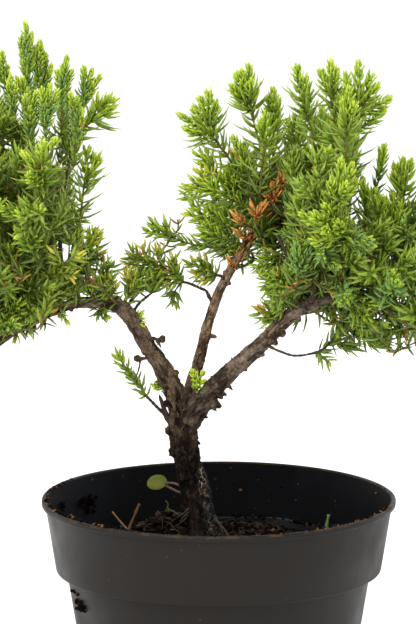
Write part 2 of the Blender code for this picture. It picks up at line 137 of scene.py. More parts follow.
# Twigs that show by themselves, in millimetres, each point with the twig's radius there
BARE_TWIGS = [
    [(-16, 1.4, 135.6, 1.3), (-18.8, -0.2, 140.6, 0.95), (-20.9, -1.4, 146.4, 0.75),
     (-21.7, -1.8, 148.6, 0.2)],
    [(-14, 1.6, 136.4, 1.3), (-18.5, 0, 138.6, 0.8), (-20.6, -0.8, 141.6, 0.66), (-23.3, -2, 144.8, 0.62),
     (-26.5, -3, 148.4, 0.48)],
    [(15, -8, 169.4, 1), (17.9, -10, 168.1, 0.6), (21.8, -12, 166.6, 0.5), (25.8, -13, 165.3, 0.46),
     (29.4, -13, 165.1, 0.42), (33, -13, 165.7, 0.42), (35.9, -13, 166.4, 0.6)],
    [(35.9, -13, 166.4, 0.5), (38.6, -13, 168.2, 0.44), (41.6, -13, 171.4, 0.38), (43.6, -13, 175.6, 0.3)],
    [(41, -13, 170.6, 0.34), (43.4, -13, 169.6, 0.3), (46, -13, 168.8, 0.24)],
    [(-1.6, 9, 179.6, 0.85), (-3.3, 8.2, 182.9, 0.6), (-4.6, 7.6, 185.4, 0.62), (-6.7, 7, 186.6, 0.5),
     (-10.6, 5, 188.7, 0.48), (-13.3, 4, 189.5, 0.55)],
    [(-13.3, 4, 189.5, 0.42), (-14.8, 4, 187.6, 0.32), (-15.9, 4, 186.1, 0.25)],
    [(3.4, 10.6, 187.4, 0.9), (1.3, 9.2, 190.6, 0.62), (-0.7, 8, 191.4, 0.52), (-2.2, 7.8, 192.2, 0.4)],
    [(-31.6, -10, 179.6, 0.9), (-28.9, -7.4, 183.2, 0.52), (-26.6, -5, 185, 0.46),
     (-24.4, -3, 186.4, 0.35)],
    [(-33.2, -10.6, 181.6, 0.9), (-32.1, -8.2, 184.3, 0.5), (-29.6, -5.6, 187.5, 0.35)],
    [(-26.6, -8, 169.8, 1), (-24.2, -9, 170.6, 0.7), (-22.4, -9.4, 170.2, 0.6), (-21.2, -9.5, 170.2, 1.25),
     (-20.2, -9.5, 170.5, 1.45), (-19.3, -9.5, 170.6, 0.9)],
    [(-22.6, -9.4, 170, 0.55), (-21.5, -9.5, 168.8, 0.45), (-21, -9.5, 167.4, 0.22)],
    [(-24.6, -7.8, 163.6, 0.9), (-27.2, -8.5, 163.4, 0.6), (-28.3, -9, 163.3, 0.95),
     (-29.6, -9, 163.4, 1.35), (-30.8, -9, 163.3, 0.8)],
    [(-28.3, -9, 162.9, 0.36), (-29, -9, 159.6, 0.28), (-30.2, -9, 156, 0.22)],
    [(-10.6, 4, 105, 0.5), (-13, 4, 102.6, 0.26), (-15.4, 5, 101, 0.2), (-17.6, 6, 99, 0.12)],
    [(-10.6, 4, 103.4, 0.4), (-13.4, 4, 101, 0.2), (-14.4, 5, 98.6, 0.12)],
    [(-10.6, 5, 102.4, 0.5), (-13, 4.6, 99.8, 0.24), (-16.6, 5, 97.4, 0.14)],
    [(-1.6, 1.4, 101.6, 0.6), (0.2, 0.4, 99.8, 0.44), (2.4, -1, 97.4, 0.36), (4.4, -2.4, 94.6, 0.28),
     (5.4, -3, 92.6, 0.2)],
    [(0.2, 0.4, 99.8, 0.3), (1.4, -0.6, 97.4, 0.22), (1.6, -1.4, 94, 0.14)],
]
# Shoots that stand clear: kind, the stem's points from its foot, and the tips of its heads, in millimetres
LEADERS = [
    ("soft", [(14, 14, 222), (10, 12, 227), (3, 11, 235), (-2, 10, 242)], [(-15, 8, 251), (-13, 6, 246),
     (-10, 9, 254), (-7, 10, 257), (-4, 10, 260), (-1, 12, 256)]),
    ("soft", [(18, 14, 226), (17, 12, 233), (14, 11, 243), (12, 10, 251)], [(4, 6, 262), (6, 8, 266),
     (8, 9, 267), (11, 10, 269), (12, 6, 264)]),
    ("soft", [(20, 16, 230), (20, 15, 238), (20, 14, 246)], [(20, 14, 260), (18, 15, 257), (22, 15, 256)]),
    ("bud", [(15, 2, 222), (16, -2, 236), (17, -4, 242)], [(17, -6, 253), (15, -6, 250)]),
    ("bud", [(12, 9, 222), (10, 8, 231)], [(5, 7, 243), (8, 8, 240)]),
    ("pale", [(4, 9, 220), (-2, 8, 223)], [(-9, 8, 232), (-7, 8, 228), (-4, 8, 231)]),
    ("thin", [(9, 13, 221), (2, 12, 227), (-4, 12, 231)], [(-9, 12, 237), (-6, 12, 238)]),
    ("thin", [(8, 12, 217), (0, 11, 221), (-6, 10, 223)], [(-15, 8, 223), (-12, 9, 227)]),
    ("fresh", [(10, 16, 206), (3, 14, 209), (-3, 13, 211)], [(-13, 11, 214), (-11, 11, 219), (-8, 12, 210),
     (-5, 12, 217)]),
    ("soft", [(34, 2, 234), (34, 0, 244), (30, 0, 256)], [(28, 0, 270), (31, -2, 266), (32, 0, 262)]),
    ("soft", [(43, -6, 232), (42, -8, 245), (41, -8, 255)], [(36, -8, 269), (40, -8, 272), (42, -8, 269),
     (45, -8, 262)]),
    ("soft", [(46, -12, 230), (48, -14, 240), (49, -14, 252)], [(45, -12, 268), (50, -14, 272),
     (55, -14, 268), (57, -14, 264), (62, -14, 259), (60, -14, 255)]),
    ("soft", [(44, -20, 228), (45, -26, 241), (45, -26, 250)], [(44, -26, 260), (46, -26, 264),
     (48, -28, 259)]),
    ("soft", [(38, 6, 226), (37, 10, 237)], [(35, 12, 250), (38, 14, 253), (41, 12, 250), (38, 8, 247)]),
    ("soft", [(28, 22, 226), (29, 26, 237)], [(28, 28, 249), (32, 28, 252), (25, 30, 247), (31, 32, 246)]),
    ("soft", [(45, 16, 226), (46, 20, 240)], [(46, 22, 255), (50, 22, 257), (48, 26, 251), (43, 24, 252)]),
    ("blue", [(14, 26, 216), (10, 30, 224)], [(6, 32, 235), (10, 34, 238), (14, 34, 235), (8, 36, 232)]),
    ("bulb", [(48, 12, 206), (48, 14, 217), (49, 14, 228)], [(50, 14, 242)]),
    ("bulb", [(56, 16, 204), (57, 20, 216), (59, 20, 225)], [(61, 20, 238)]),
    ("soft", [(66, 0, 202), (69, 2, 211), (67, 2, 222)], [(64, 2, 234), (67, 2, 236), (70, 2, 235),
     (63, 0, 231)]),
    ("bud", [(53, -2, 206), (53, -4, 215)], [(52, -4, 229), (54, -4, 225)]),
    ("soft", [(57, -6, 206), (57, -8, 213)], [(56, -8, 226), (59, -8, 223)]),
    ("soft", [(63, -4, 204), (64, -2, 211)], [(63, -2, 224), (60, -4, 222), (66, -4, 221)]),
    ("bud", [(46, 8, 222), (47, 6, 231)], [(45, 6, 241), (43, 6, 238)]),
    ("scaly", [(-67, -12, 244), (-68, -11, 256), (-68, -10, 266)], [(-69, -10, 286), (-71, -9, 281),
     (-67, -9, 282), (-71, -9, 276), (-70, -10, 273)]),
    ("scaly", [(-64, -8, 250), (-64, -8, 261), (-65, -8, 268)], [(-64, -8, 279), (-66, -8, 277),
     (-63, -7, 276)]),
    ("scaly", [(-62, -7, 252), (-63, -6, 262)], [(-62, -5, 274), (-60, -6, 270), (-64, -5, 273)]),
    ("scaly", [(-56, -12, 248), (-56, -14, 259)], [(-58, -13, 269), (-56, -14, 271), (-54, -14, 274),
     (-52, -14, 269)]),
    ("scaly", [(-56, -9, 234), (-53, -10, 243), (-49, -10, 257)], [(-48, -10, 270), (-45, -10, 269),
     (-42, -11, 267), (-44, -10, 263)]),
    ("thin", [(-56, -4, 240), (-51, -2, 245), (-46, -2, 249)], [(-42, -3, 259), (-39, -2, 258),
     (-37, -2, 258), (-36, -1, 254)]),
    ("scaly", [(-75, -8, 248), (-76, -6, 260)], [(-78, -6, 275), (-80, -8, 272), (-76, -6, 270)]),
    ("scaly", [(-73, -20, 246), (-73, -20, 256)], [(-74, -20, 268), (-75, -20, 266), (-72, -20, 264)]),
    ("scaly", [(-68, -18, 244), (-69, -18, 256)], [(-70, -18, 267), (-68, -18, 263)]),
    ("thin", [(-50, -4, 214), (-49, -2, 224)], [(-47, -2, 240), (-44, -2, 238), (-43, -2, 236)]),
    ("pale", [(-51, -5, 198), (-48, -6, 203)], [(-44, -8, 212), (-42, -8, 210)]),
    ("spiky", [(-54, 4, 190), (-50, 4, 196)], [(-42, 6, 205), (-44, 6, 201)]),
    ("scaly", [(-66, -28, 238), (-67, -30, 249)], [(-68, -32, 262), (-64, -32, 263), (-66, -32, 258)]),
    ("scaly", [(-60, -32, 238), (-61, -34, 249)], [(-59, -36, 266), (-62, -36, 265), (-56, -36, 264)]),
    ("scaly", [(-51, -28, 236), (-50, -30, 247)], [(-52, -30, 262), (-50, -30, 261), (-48, -30, 257)]),
    ("scaly", [(-70, 10, 240), (-70, 12, 252)], [(-70, 12, 268), (-66, 13, 265), (-74, 13, 264)]),
    ("scaly", [(-58, 14, 232), (-56, 16, 243)], [(-55, 16, 258), (-52, 15, 254), (-58, 18, 256)]),
    ("golden", [(-13, 4, 190), (-18, 3, 193.5), (-23, 2, 196), (-28, 0, 198)], [(-36, -2, 200),
     (-34, -1, 204), (-29, 0, 205), (-23, 1, 204), (-27, 1, 190), (-21, 2, 188), (-32, 0, 194),
     (-17, 3, 202), (-36, -2, 196)]),
    ("golden", [(-13, 4, 190), (-17, 5, 191), (-22, 6, 192)], [(-30, 6, 193), (-28, 6, 188), (-25, 7, 187),
     (-18, 7, 198)]),
    ("golden", [(-0.7, 8, 191.2), (-3, 8, 192.4), (-5, 8, 193)], [(-13, 5, 198), (-11, 6, 192),
     (-9, 6, 199), (-6, 7, 199), (-8, 7, 189)]),
    ("reaching", [(9, 14, 199), (2, 13, 200.5), (-3, 12, 201), (-12, 11, 203), (-19, 10, 206)],
     [(-26, 9, 212), (-22, 9, 213), (-28, 9, 208)]),
    ("reaching", [(9, 14, 202), (4, 12, 204), (-1, 11, 205)], [(-9, 10, 208), (-6, 10, 211)]),
    ("golden", [(-41, -12, 183), (-40, -13, 187)], [(-38, -14, 196), (-42, -14, 195), (-36, -14, 192)]),
    ("golden", [(-34, -11, 184), (-32, -9, 188)], [(-30, -10, 196), (-27, -10, 193), (-33, -11, 197)]),
    ("spiky", [(-46, -8, 186), (-42, -8, 192)], [(-37, -8, 201), (-41, -9, 201)]),
    ("spiky", [(-24.4, -3, 186.4), (-24, -2, 189)], [(-22, -1, 195), (-27, -2, 194)]),
    ("spiky", [(-29.6, -5, 187.5), (-29, -4, 190)], [(-27, -4, 197), (-32, -5, 197)]),
    ("sprig", [(-26.5, -3, 148.4), (-29, -5, 153), (-32, -7, 157)], [(-38, -9, 167)]),
    ("leafy", [(-8.2, -2, 150.4), (-7.8, -4.4, 152.2)], [(-10, -5, 159.6), (-8.8, -5, 158.8),
     (-5.6, -5, 158), (-4.8, -5, 155.8)]),
    ("leafy", [(-19, -3, 151), (-21.6, -4, 151.6)], [(-24.6, -5, 153.4)]),
    ("leafy", [(-30.4, -10, 178), (-28.8, -11, 178.6)], [(-27.2, -12, 181.6), (-27, -12, 176)]),
    ("hanging", [(-15.9, 4, 186.1), (-16.2, 4, 184)], [(-18.6, 4, 181), (-16.6, 4, 178.6)]),
    ("star", [(-43, -13, 183), (-43, -14, 180.6)], [(-46, -14.6, 178), (-44, -15, 176), (-41, -15, 176.6)]),
    ("leafy", [(-42, -13, 182), (-41, -14, 180)], [(-38.6, -15, 178)]),
    ("star", [(-62, -17, 180), (-62.4, -18, 178)], [(-62.8, -19, 172)]),
    ("star", [(-68, -19, 177.6), (-68.6, -20, 175.6)], [(-70, -21, 169.6), (-68, -20, 171)]),
    ("golden", [(-72, -19, 176), (-72.2, -20, 175)], [(-72.8, -20.5, 171.6)]),
    ("leafy", [(-57, -15, 181.6), (-56, -17, 180)], [(-54, -18, 177)]),
    ("spiky", [(-50, -14, 185), (-52, -18, 189)], [(-58, -22, 195), (-54, -22, 193)]),
    ("shaded", [(-56, -15, 183), (-57, -20, 188)], [(-63, -24, 193), (-60, -25, 197), (-54, -24, 194)]),
    ("shaded", [(-62, -17, 181), (-62, -22, 186)], [(-68, -27, 194), (-66, -26, 190), (-60, -26, 192)]),
    ("mature", [(-70, -18, 178), (-71, -23, 183)], [(-76, -28, 190), (-74, -28, 185), (-67, -27, 188)]),
    ("shaded", [(-76, -19, 174), (-78, -22, 179)], [(-84, -26, 184), (-80, -26, 182)]),
    ("spiky", [(-45, -13, 185), (-46, -17, 189)], [(-50, -20, 196), (-44, -20, 196)]),
    ("mature", [(24, 0, 199), (20, -4, 198)], [(14, -8, 201), (12, -8, 196), (17, -9, 193)]),
    ("spiky", [(26, -4, 194), (22, -8, 192)], [(16, -12, 191), (14, -10, 187), (20, -13, 186)]),
    ("mature", [(27, -6, 189), (25, -10, 190)], [(20, -16, 196), (25, -16, 198), (22, -16, 191)]),
    ("spiky", [(26, -8, 186), (23, -10, 184)], [(17, -13, 182), (21, -14, 179.4)]),
    ("soft", [(12, 18, 208), (8, 16, 216), (6, 14, 222)], [(3, 10, 232), (6, 11, 235), (9, 12, 233),
     (0, 10, 229)]),
    ("blue", [(24, 8, 214), (27, 4, 222), (28, 2, 227)], [(26, 0, 238), (28, 0, 240), (31, 0, 238),
     (24, 0, 234)]),
    ("thin", [(28, 6, 214), (33, 3, 220), (38, 2, 223)], [(44, 0, 229), (46, 1, 225), (42, 2, 231)]),
    ("thin", [(22, 14, 222), (26, 10, 228), (31, 8, 232)], [(37, 6, 237), (34, 6, 240), (38, 6, 233)]),
    ("spiky", [(30, -30, 196), (33, -32, 206)], [(34, -34, 221), (31, -36, 216), (37, -34, 216)]),
    ("blue", [(27, -28, 192), (29, -32, 200)], [(30, -36, 213), (27, -36, 210), (33, -36, 208)]),
    ("droop", [(41, -14, 185), (42, -15, 181)], [(44, -17, 172)]),
    ("droop", [(50, -12, 186), (52, -14, 180)], [(56, -16, 172), (51, -16, 173)]),
    ("droop", [(61, -10, 187), (64, -11, 180)], [(68, -12, 170), (63, -12, 171)]),
    ("droop", [(23, -10, 178), (18, -9, 181)], [(11, -8, 180), (14, -9, 176.6)]),
    ("lone", [(36.4, -13, 166.6), (39, -13, 168.6), (41.6, -13, 171.4), (43.6, -13, 175.6)],
     [(44.6, -13, 187)]),
    ("lone", [(42.4, -13, 173), (45.6, -13, 175.6)], [(52, -13, 179.6)]),
    ("golden", [(36, -13, 166.4), (37, -13, 165.4)], [(41.6, -13, 160.6)]),
    ("lone", [(41, -13, 170.6), (46, -13, 168.8)], [(53, -13, 167.6)]),
    ("withered", [(19, 15, 216), (20, 8, 219)], [(19.4, 3, 226), (16.6, 3, 222.6), (22.6, 4, 223),
     (21, 3, 228)]),
    ("withered", [(21, 14, 222), (23, 8, 224)], [(25, 3, 231), (27, 3, 227.6), (22.6, 3, 230.6)]),
    ("withered", [(15, 14, 211), (14.6, 8, 213)], [(11.4, 4, 218.6), (17, 3, 219), (15, 3, 217)]),
    ("withered", [(10, 13, 205), (9, 9, 206)], [(5.4, 6, 208.6)]),
    ("withered", [(5.4, 10, 194), (5.2, 8, 195)], [(3.4, 6, 198.6)]),
    ("withered", [(9.4, 9, 210), (8, 8, 211.6)], [(4.8, 6, 215.4)]),
    ("withered", [(19, -9, 179), (17, -9, 180.6)], [(13.6, -9, 182.6)]),
]
# Kept open, as lowest and highest corners in millimetres: only the shoots above stand there
OPEN_PLACES = [
    ((13, -80, 100), (44, 80, 173)), ((44, -80, 100), (150, 80, 165)), ((-54, -80, 214), (-38, 80, 240)),
    ((-60, -80, 100), (-38, 80, 180)), ((-72, -80, 100), (-60, 80, 174)), ((-84, -80, 100), (-72, 80, 167)),
    ((-150, -80, 100), (-84, 80, 157)), ((-14, -80, 172), (14, 8, 212)), ((2, -80, 196), (25, 8, 230)),
    ((28, -80, 170), (46, -20, 188)), ((-38, -80, 120), (12, 30, 176)), ((-40, -80, 228), (13, 80, 300)),
    ((13, -80, 240), (27, 80, 300)), ((27, -80, 254), (76, 80, 300)), ((48, -80, 216), (76, 80, 262)),
    ((-82, -80, 262), (-36, 80, 300)), ((-47, -80, 206), (-20, 80, 300)),
]
# Gaps in the crown as seen from the front: middle and half size, across and up, in millimetres
OPEN_VIEWS = [
    (-66, 245, 3.4, 5.4), (-58.5, 236, 5, 4), (-76, 208, 1.8, 2.2), (-71.5, 205.5, 1.6, 1.6),
    (-92, 156, 7, 6), (-84, 160, 7, 6), (-76, 164, 7, 6), (-68, 168.6, 7, 6), (-60, 172.6, 7, 6),
    (-52, 175.6, 6, 5.4), (-45, 177.6, 5, 4.6), (2, 222, 2, 2.6), (8, 229, 2, 2.6), (14, 233, 1.8, 2.8),
    (8, 244, 3.4, 5.4), (17, 247, 3, 4.4), (24, 251, 2.6, 6), (1, 243, 1.8, 2.4), (-3, 214, 2, 1.6),
    (22, 238, 1.8, 3.2), (28, 237, 1.6, 2.8), (6, 208, 1.6, 1.6), (38, 252, 2.6, 5), (51, 250, 1.8, 4),
    (36, 240, 1.6, 2.4), (-4, 222, 1.6, 2), (26, 178, 3.4, 3), (33, 177, 3, 3), (-55.5, 200.5, 2.6, 4.4),
    (33, 248, 3, 5), (44, 243, 2.6, 3.4), (56, 243, 3.4, 5), (18, 236, 2.4, 5), (-62, 250, 1.8, 3.6),
    (-72, 252, 2, 4.4), (-50, 240, 2.2, 4), (-49, 252, 2.4, 3), (-8, 226, 3, 3.4), (-2, 233, 3, 2.4),
    (28, 212, 1.4, 1.8), (46, 206, 1.6, 1.4), (70, 212, 2, 3), (66, 183, 3, 2), (36, 171, 4, 3),
    (-68, 221, 1.4, 2), (-76, 240, 1.4, 2.4), (-60, 205, 1.4, 1.6), (22, 204, 1.8, 1.6),
    (20.5, 197, 3, 3.6), (24.5, 183.5, 2, 1.6), (39, 184, 2.4, 1.6), (53.5, 187, 2.6, 2.2),
    (59.5, 178, 3.8, 3), (49.5, 216.5, 3, 5), (40, 200, 1.6, 2.4), (33, 232, 2.2, 3), (-62, 214, 1.6, 2.4),
    (-50, 192, 2, 2), (63, 198, 2.2, 2.6), (10.3, 207.4, 1.8, 2.4), (17.3, 216.2, 1, 1.6),
    (-2, 229.4, 1.8, 2.2), (3.6, 228.4, 2, 2), (5, 220, 1.6, 1.8), (2.2, 211.3, 1.6, 1.6),
    (-4, 234.6, 2.6, 2.2), (-1, 239, 2.4, 2.4), (-8, 219, 1.8, 1.8), (12, 225, 2.2, 3), (28, 246, 2, 4.4),
    (13, 238, 2.2, 3), (5, 214, 2, 1.8), (-71, 232, 1.6, 2.6),
]
# The place in front that those gaps are seen from, in millimetres
FRONT_EYE = (-3.9, -1172.0, 367.7)
# Boughs inside the foliage that the shoots grow from: points and the radius at both ends, in millimetres
INNER_BOUGHS = [
    ([(-52, -14, 184), (-60, -12, 204), (-66, -11, 232), (-67, -12, 256)], 1.3, 0.6),
    ([(-52, -14, 184), (-57, -9, 200), (-56, -8, 222), (-53, -6, 240)], 1, 0.5),
    ([(-76, -19, 174), (-90, -14, 196), (-98, -8, 238)], 1.2, 0.6),
    ([(-64, -16, 180), (-74, 8, 194), (-74, 30, 224)], 1.2, 0.6),
    ([(-72, -18, 177), (-76, -36, 190), (-70, -42, 222)], 1.2, 0.6),
    ([(19, 17, 219), (16, 16, 223), (13, 14, 225)], 0.7, 0.45),
    ([(22, 16, 229), (20, 15, 233)], 0.7, 0.5),
    ([(16, 16, 212), (22, 32, 216), (24, 46, 222)], 1.1, 0.6),
    ([(40, -12, 185), (44, -4, 208), (44, -2, 228), (44, -4, 236)], 1.3, 0.7),
    ([(62, -7, 188), (67, -2, 200)], 1.1, 0.7),
    ([(34, -12, 184), (34, -28, 200), (32, -38, 220)], 1.1, 0.6),
    ([(30, -12, 182.4), (29, -6, 190), (25, 2, 199), (22, 8, 206)], 0.9, 0.5),
    ([(54, -10, 187), (56, 14, 190), (56, 36, 196)], 1.1, 0.6),
]

# Ways of setting needles: gap between whorls and length of a needle in millimetres, and how far it stands
# out in degrees, each at the foot, middle and tip of an axis, then a needle's width and bend
Dress = namedtuple("Dress", "gap needle opening width bend")
DRESSES = {
    "long": Dress((2.9, 2.5, 2.1), (9.4, 9.2, 7.2), (80, 70, 54), 1.4, 0.3),
    "full": Dress((2.8, 2.4, 2), (7.6, 7.4, 6), (76, 64, 50), 1.4, 0.26),
    "close": Dress((2, 1.8, 1.4), (5.2, 5.2, 4.2), (60, 52, 40), 1.4, 0.2),
    "sparse": Dress((3.6, 3.2, 2.6), (5.8, 6.4, 5.4), (66, 58, 48), 1.3, 0.24),
    "scales": Dress((1.9, 1.5, 1.2), (4.8, 3.9, 3.2), (56, 46, 36), 1.3, 0.3),
    "brush": Dress((1.9, 1.3, 0.85), (5.2, 3.9, 2.6), (62, 50, 34), 1.5, 0.58),
    "spray": Dress((2.3, 1.9, 1.4), (6, 5.4, 3.8), (62, 54, 42), 1.5, 0.34),
    "needly": Dress((2.5, 2.1, 1.6), (6.8, 6.2, 4.6), (66, 56, 42), 1.5, 0.28),
    "cone": Dress((1.3, 1.05, 0.8), (3.2, 2.8, 2.2), (50, 42, 32), 1.35, 0.5),
    "ball": Dress((1.3, 0.85, 0.7), (4.2, 4.2, 3.2), (58, 48, 40), 1.45, 0.5),
    "leaves": Dress((2, 1.8, 1.5), (2.6, 2.8, 2.6), (44, 32, 18), 1.7, 0.1),
    "dead": Dress((2.4, 2.2, 1.8), (3.4, 4.2, 3.8), (50, 36, 24), 1.4, 0.55),
    "cloak": Dress((2, 1.8, 1.6), (2.8, 3.4, 3.8), (22, 30, 40), 1.3, 0.2),
    "lone": Dress((1.9, 1.9, 1.7), (5.8, 6.8, 5.6), (62, 54, 42), 1.3, 0.3),
    "old": Dress((4.4, 4, 3.4), (5.4, 5, 4.4), (70, 60, 50), 1.1, 0.2),
}
# Foot, middle and tip as shares of an axis
STOPS = (0.0, 0.55, 1.0)
# Kinds of shoot: dress of the stem and of its heads, the hues of both from foot to tip, how long a head is
# and its full crest, in millimetres. For shoots that grow by rule, how many heads and how far they spread.
Kind = namedtuple("Kind", "stem head hues head_hues length crest heads spread", defaults=(None, None))
KINDS = {
    "soft": Kind("long", "brush", "dark green green green", "green fresh fresh lime", 14, 9, (4, 6), 6.5),
    "fresh": Kind("full", "spray", "green green fresh", "green fresh fresh lime", 12, 9),
    "mature": Kind("full", "spray", "dark dark green", "dark green green fresh", 12, 9, (3, 4), 6.5),
    "blue": Kind("full", "brush", "dark blue blue", "blue green blue fresh", 12, 9, (3, 5), 6),
    "bud": Kind("long", "brush", "dark green green", "green fresh fresh lime", 10, 8),
    "bulb": Kind("sparse", "ball", "dark blue blue", "green fresh fresh lime", 11, 9),
    "pale": Kind("close", "spray", "green fresh fresh", "fresh lime gold", 9, 8),
    "thin": Kind("long", "spray", "green green fresh", "fresh fresh lime", 10, 7),
    "scaly": Kind("scales", "cone", "dark green blue", "blue green fresh lime", 11, 9, (4, 6), 5.5),
    "spiky": Kind("full", "needly", "dark dark green", "green green green", 10, 8, (2, 3), 5.5),
    # Shaded: dark needles as painted shade, for shoots deep inside the crown and low on its left
    "shaded": Kind("full", "needly", "dark dark dark", "dark dark green green", 10, 8, (1, 3), 5.5),
    "golden": Kind("close", "close", "green olive green", "dark olive green gold", 9, 9, (2, 4), 5),
    "reaching": Kind("close", "spray", "green blue green green", "green fresh fresh", 9, 8),
    "sprig": Kind("close", "close", "green blue green", "green fresh fresh", 10, 10),
    "leafy": Kind("leaves", "leaves", "green fresh", "fresh lime lime", 5, 8),
    "hanging": Kind("sparse", "close", "dark green", "dark green green", 6, 8),
    "droop": Kind("long", "needly", "dark dark green", "dark green green", 9, 7),
    "lone": Kind("lone", "lone", "dark dark dark", "dark dark green", 8, 12),
    "star": Kind("sparse", "old", "dark green", "dark green green", 5, 8),
    "withered": Kind("dead", "dead", "brown tan", "brown tan tan", 6, 6),
}
# Kinds whose heads don't turn up
STRAIGHT_KINDS = ("droop", "hanging", "star")
# Which kinds grow by rule in each part of the crown: each kind up to its limit of a draw from 0 to 1
MIXES = {
    "middle": ((0.35, "golden"), (1, "mature")),
    "left top": ((0.8, "scaly"), (1, "soft")),
    "left": ((0.55, "mature"), (0.80, "spiky"), (0.94, "soft"), (1, "golden")),
    # Low on the left most shoots are shaded ones, darkened as painted shade
    "left low": ((0.60, "shaded"), (0.75, "mature"), (0.93, "spiky"), (1, "golden")),
    "skirt": ((0.6, "mature"), (0.9, "spiky"), (1, "golden")),
    "right": ((0.3, "blue"), (0.5, "shaded"), (0.94, "mature"), (1, "golden")),
    "right upper": ((0.6, "soft"), (0.8, "blue"), (1, "mature")),
    "right front": ((0.5, "blue"), (0.56, "soft"), (0.8, "mature"), (1, "shaded")),
}
HUE_NAMES = ("dark", "green", "fresh", "lime", "blue", "olive", "gold", "brown", "tan")

# Number of triangles a joined piece may have, with some room to spare
PIECE_LIMIT = 190000


# ---------------- settings

def length_setting(name, description, default):
    """A length, in metres."""
    return bpy.props.FloatProperty(name=name, description=description, default=default, unit="LENGTH")


def colour_setting(name, description, default):
    """A colour."""
    return bpy.props.FloatVectorProperty(name=name, description=description, default=default, subtype="COLOR")


class JuniperPotSettings(bpy.types.PropertyGroup):
    """Sizes and colours of the nursery pot."""

    rim_radius: length_setting("Rim radius", "Outer radius of the rolled lip", 0.065)
    height: length_setting("Height", "From the underside to the top of the lip", 0.110)
    wall: length_setting("Wall", "Thickness of the plastic", 0.0016)
    collar_foot: length_setting("Collar foot", "Height of the step under the collar", 0.0836)
    grow_radius: length_setting("Inner pot radius", "Outer radius of the inner pot's lip", 0.0463)
    grow_height: length_setting("Inner pot height", "Height of the inner pot's lip", 0.093)
    outer_colour: colour_setting("Outside", "Colour of the dry plastic", (0.0092, 0.0068, 0.0052))
    # The inside colour is the same plastic painted darker and bluer, as painted shade inside the pot
    inner_shaded_colour: colour_setting("Inside", "Colour of the damp inner wall", (0.0022, 0.0026, 0.0040))


class JuniperSoilSettings(bpy.types.PropertyGroup):
    """The compost and what lies on it."""

    edge_height: length_setting("Edge height", "Height of the compost at the wall", 0.0906)
    seat_height: length_setting("Seat height", "Height of the mound round the trunk", 0.0946)
    crumbs: bpy.props.IntProperty(
        name="Crumbs", description="Number of loose crumbs on the surface", default=1700)
    seed: bpy.props.IntProperty(name="Seed", description="Start of the random draws", default=11)
    colour: colour_setting("Compost", "Colour of the damp compost", (0.0022, 0.0014, 0.0010))


class JuniperWoodSettings(bpy.types.PropertyGroup):
    """Bark of the trunk and boughs."""

    relief: length_setting("Relief", "Depth of the bark's furrows on the trunk", 0.0010)
    voxel: length_setting("Voxel", "Size of the cells that the limbs are merged with", 0.00034)
    seed: bpy.props.IntProperty(name="Seed", description="Start of the random draws", default=3)
    dark: colour_setting("Cracks", "Colour in the cracks", (0.032, 0.020, 0.013))
    middle: colour_setting("Bark", "Colour of most of the bark", (0.102, 0.073, 0.049))
    light: colour_setting("Ridges", "Colour of worn ridges and flakes", (0.27, 0.205, 0.142))
    ruddy: bpy.props.FloatVectorProperty(
        name="Ruddy", description="Tint of the young red-brown bark", default=(2.0, 1.85, 1.62))


class JuniperFoliageSettings(bpy.types.PropertyGroup):
    """Shoots and needles."""

    seed: bpy.props.IntProperty(name="Seed", description="Start of the random draws", default=5)
    spacing: length_setting("Shoot spacing", "Least distance between leading shoots", 0.0155)
    inner_spacing: length_setting("Inner spacing", "Least distance between shoots inside", 0.0105)
    shoot_length: length_setting("Shoot length", "Length of a leading shoot", 0.034)
    filler_length: length_setting("Inner shoot length", "Length of a shoot inside", 0.020)
    # Dark is the colour of the oldest needles, and also painted shade on the shaded shoots
    dark: colour_setting("Dark", "Oldest needles", (0.104, 0.160, 0.016))
    green: colour_setting("Green", "Grown needles", (0.195, 0.295, 0.022))
    fresh: colour_setting("Fresh", "This year's needles", (0.29, 0.430, 0.027))
    # Lime, the newest tips, is partly their own colour and partly painted glow of light shining through them
    lime: colour_setting("Lime", "Newest tips", (0.40, 0.53, 0.040))
    blue: colour_setting("Blue", "Bloomed needles", (0.150, 0.270, 0.062))
    olive: colour_setting("Olive", "Sunned needles", (0.25, 0.30, 0.026))
    gold: colour_setting("Gold", "Yellowed tips", (0.44, 0.41, 0.040))
    brown: colour_setting("Brown", "Dead needles", (0.44, 0.165, 0.034))
    tan: colour_setting("Tan", "Bleached needles", (0.64, 0.30, 0.070))


# ---------------- materials

def toned(colour, factor):
    """A colour made lighter or darker."""
    return [min(1.0, part * factor) for part in colour]


def new_material(name, colour, roughness, specular=0.5):
    """A Principled material; returns it with its node tree and shader."""
    material = bpy.data.materials.new(name)
    material.use_nodes = True
    tree = material.node_tree
    shader = tree.nodes["Principled BSDF"]
    shader.inputs["Base Color"].default_value = (*colour[:3], 1.0)
    shader.inputs["Roughness"].default_value = roughness
    shader.inputs["Specular IOR Level"].default_value = specular
    return material, tree, shader


def plain_materials(name, tints, roughness, specular):
    """Plain materials, one for each tint."""
    return [new_material(f"{name}_{index}", tint, roughness, specular)[0] for index, tint in enumerate(tints)]


def add_node(tree, kind, inputs):
    """A node with its unlinked inputs."""
    made = tree.nodes.new(kind)
    for key, value in inputs.items():
        made.inputs[key].default_value = value
    return made


def object_place(tree):
    """The place on the object, as a vector socket."""
    return tree.nodes.new("ShaderNodeTexCoord").outputs["Object"]


def attribute_node(tree, name):
    """A node that reads one of the mesh's own attributes."""
    made = tree.nodes.new("ShaderNodeAttribute")
    made.attribute_name = name
    return made


def axes_of(tree, vector):
    """The three parts of a vector socket."""
    made = tree.nodes.new("ShaderNodeSeparateXYZ")
    tree.links.new(vector, made.inputs["Vector"])
    return [made.outputs[axis] for axis in "XYZ"]


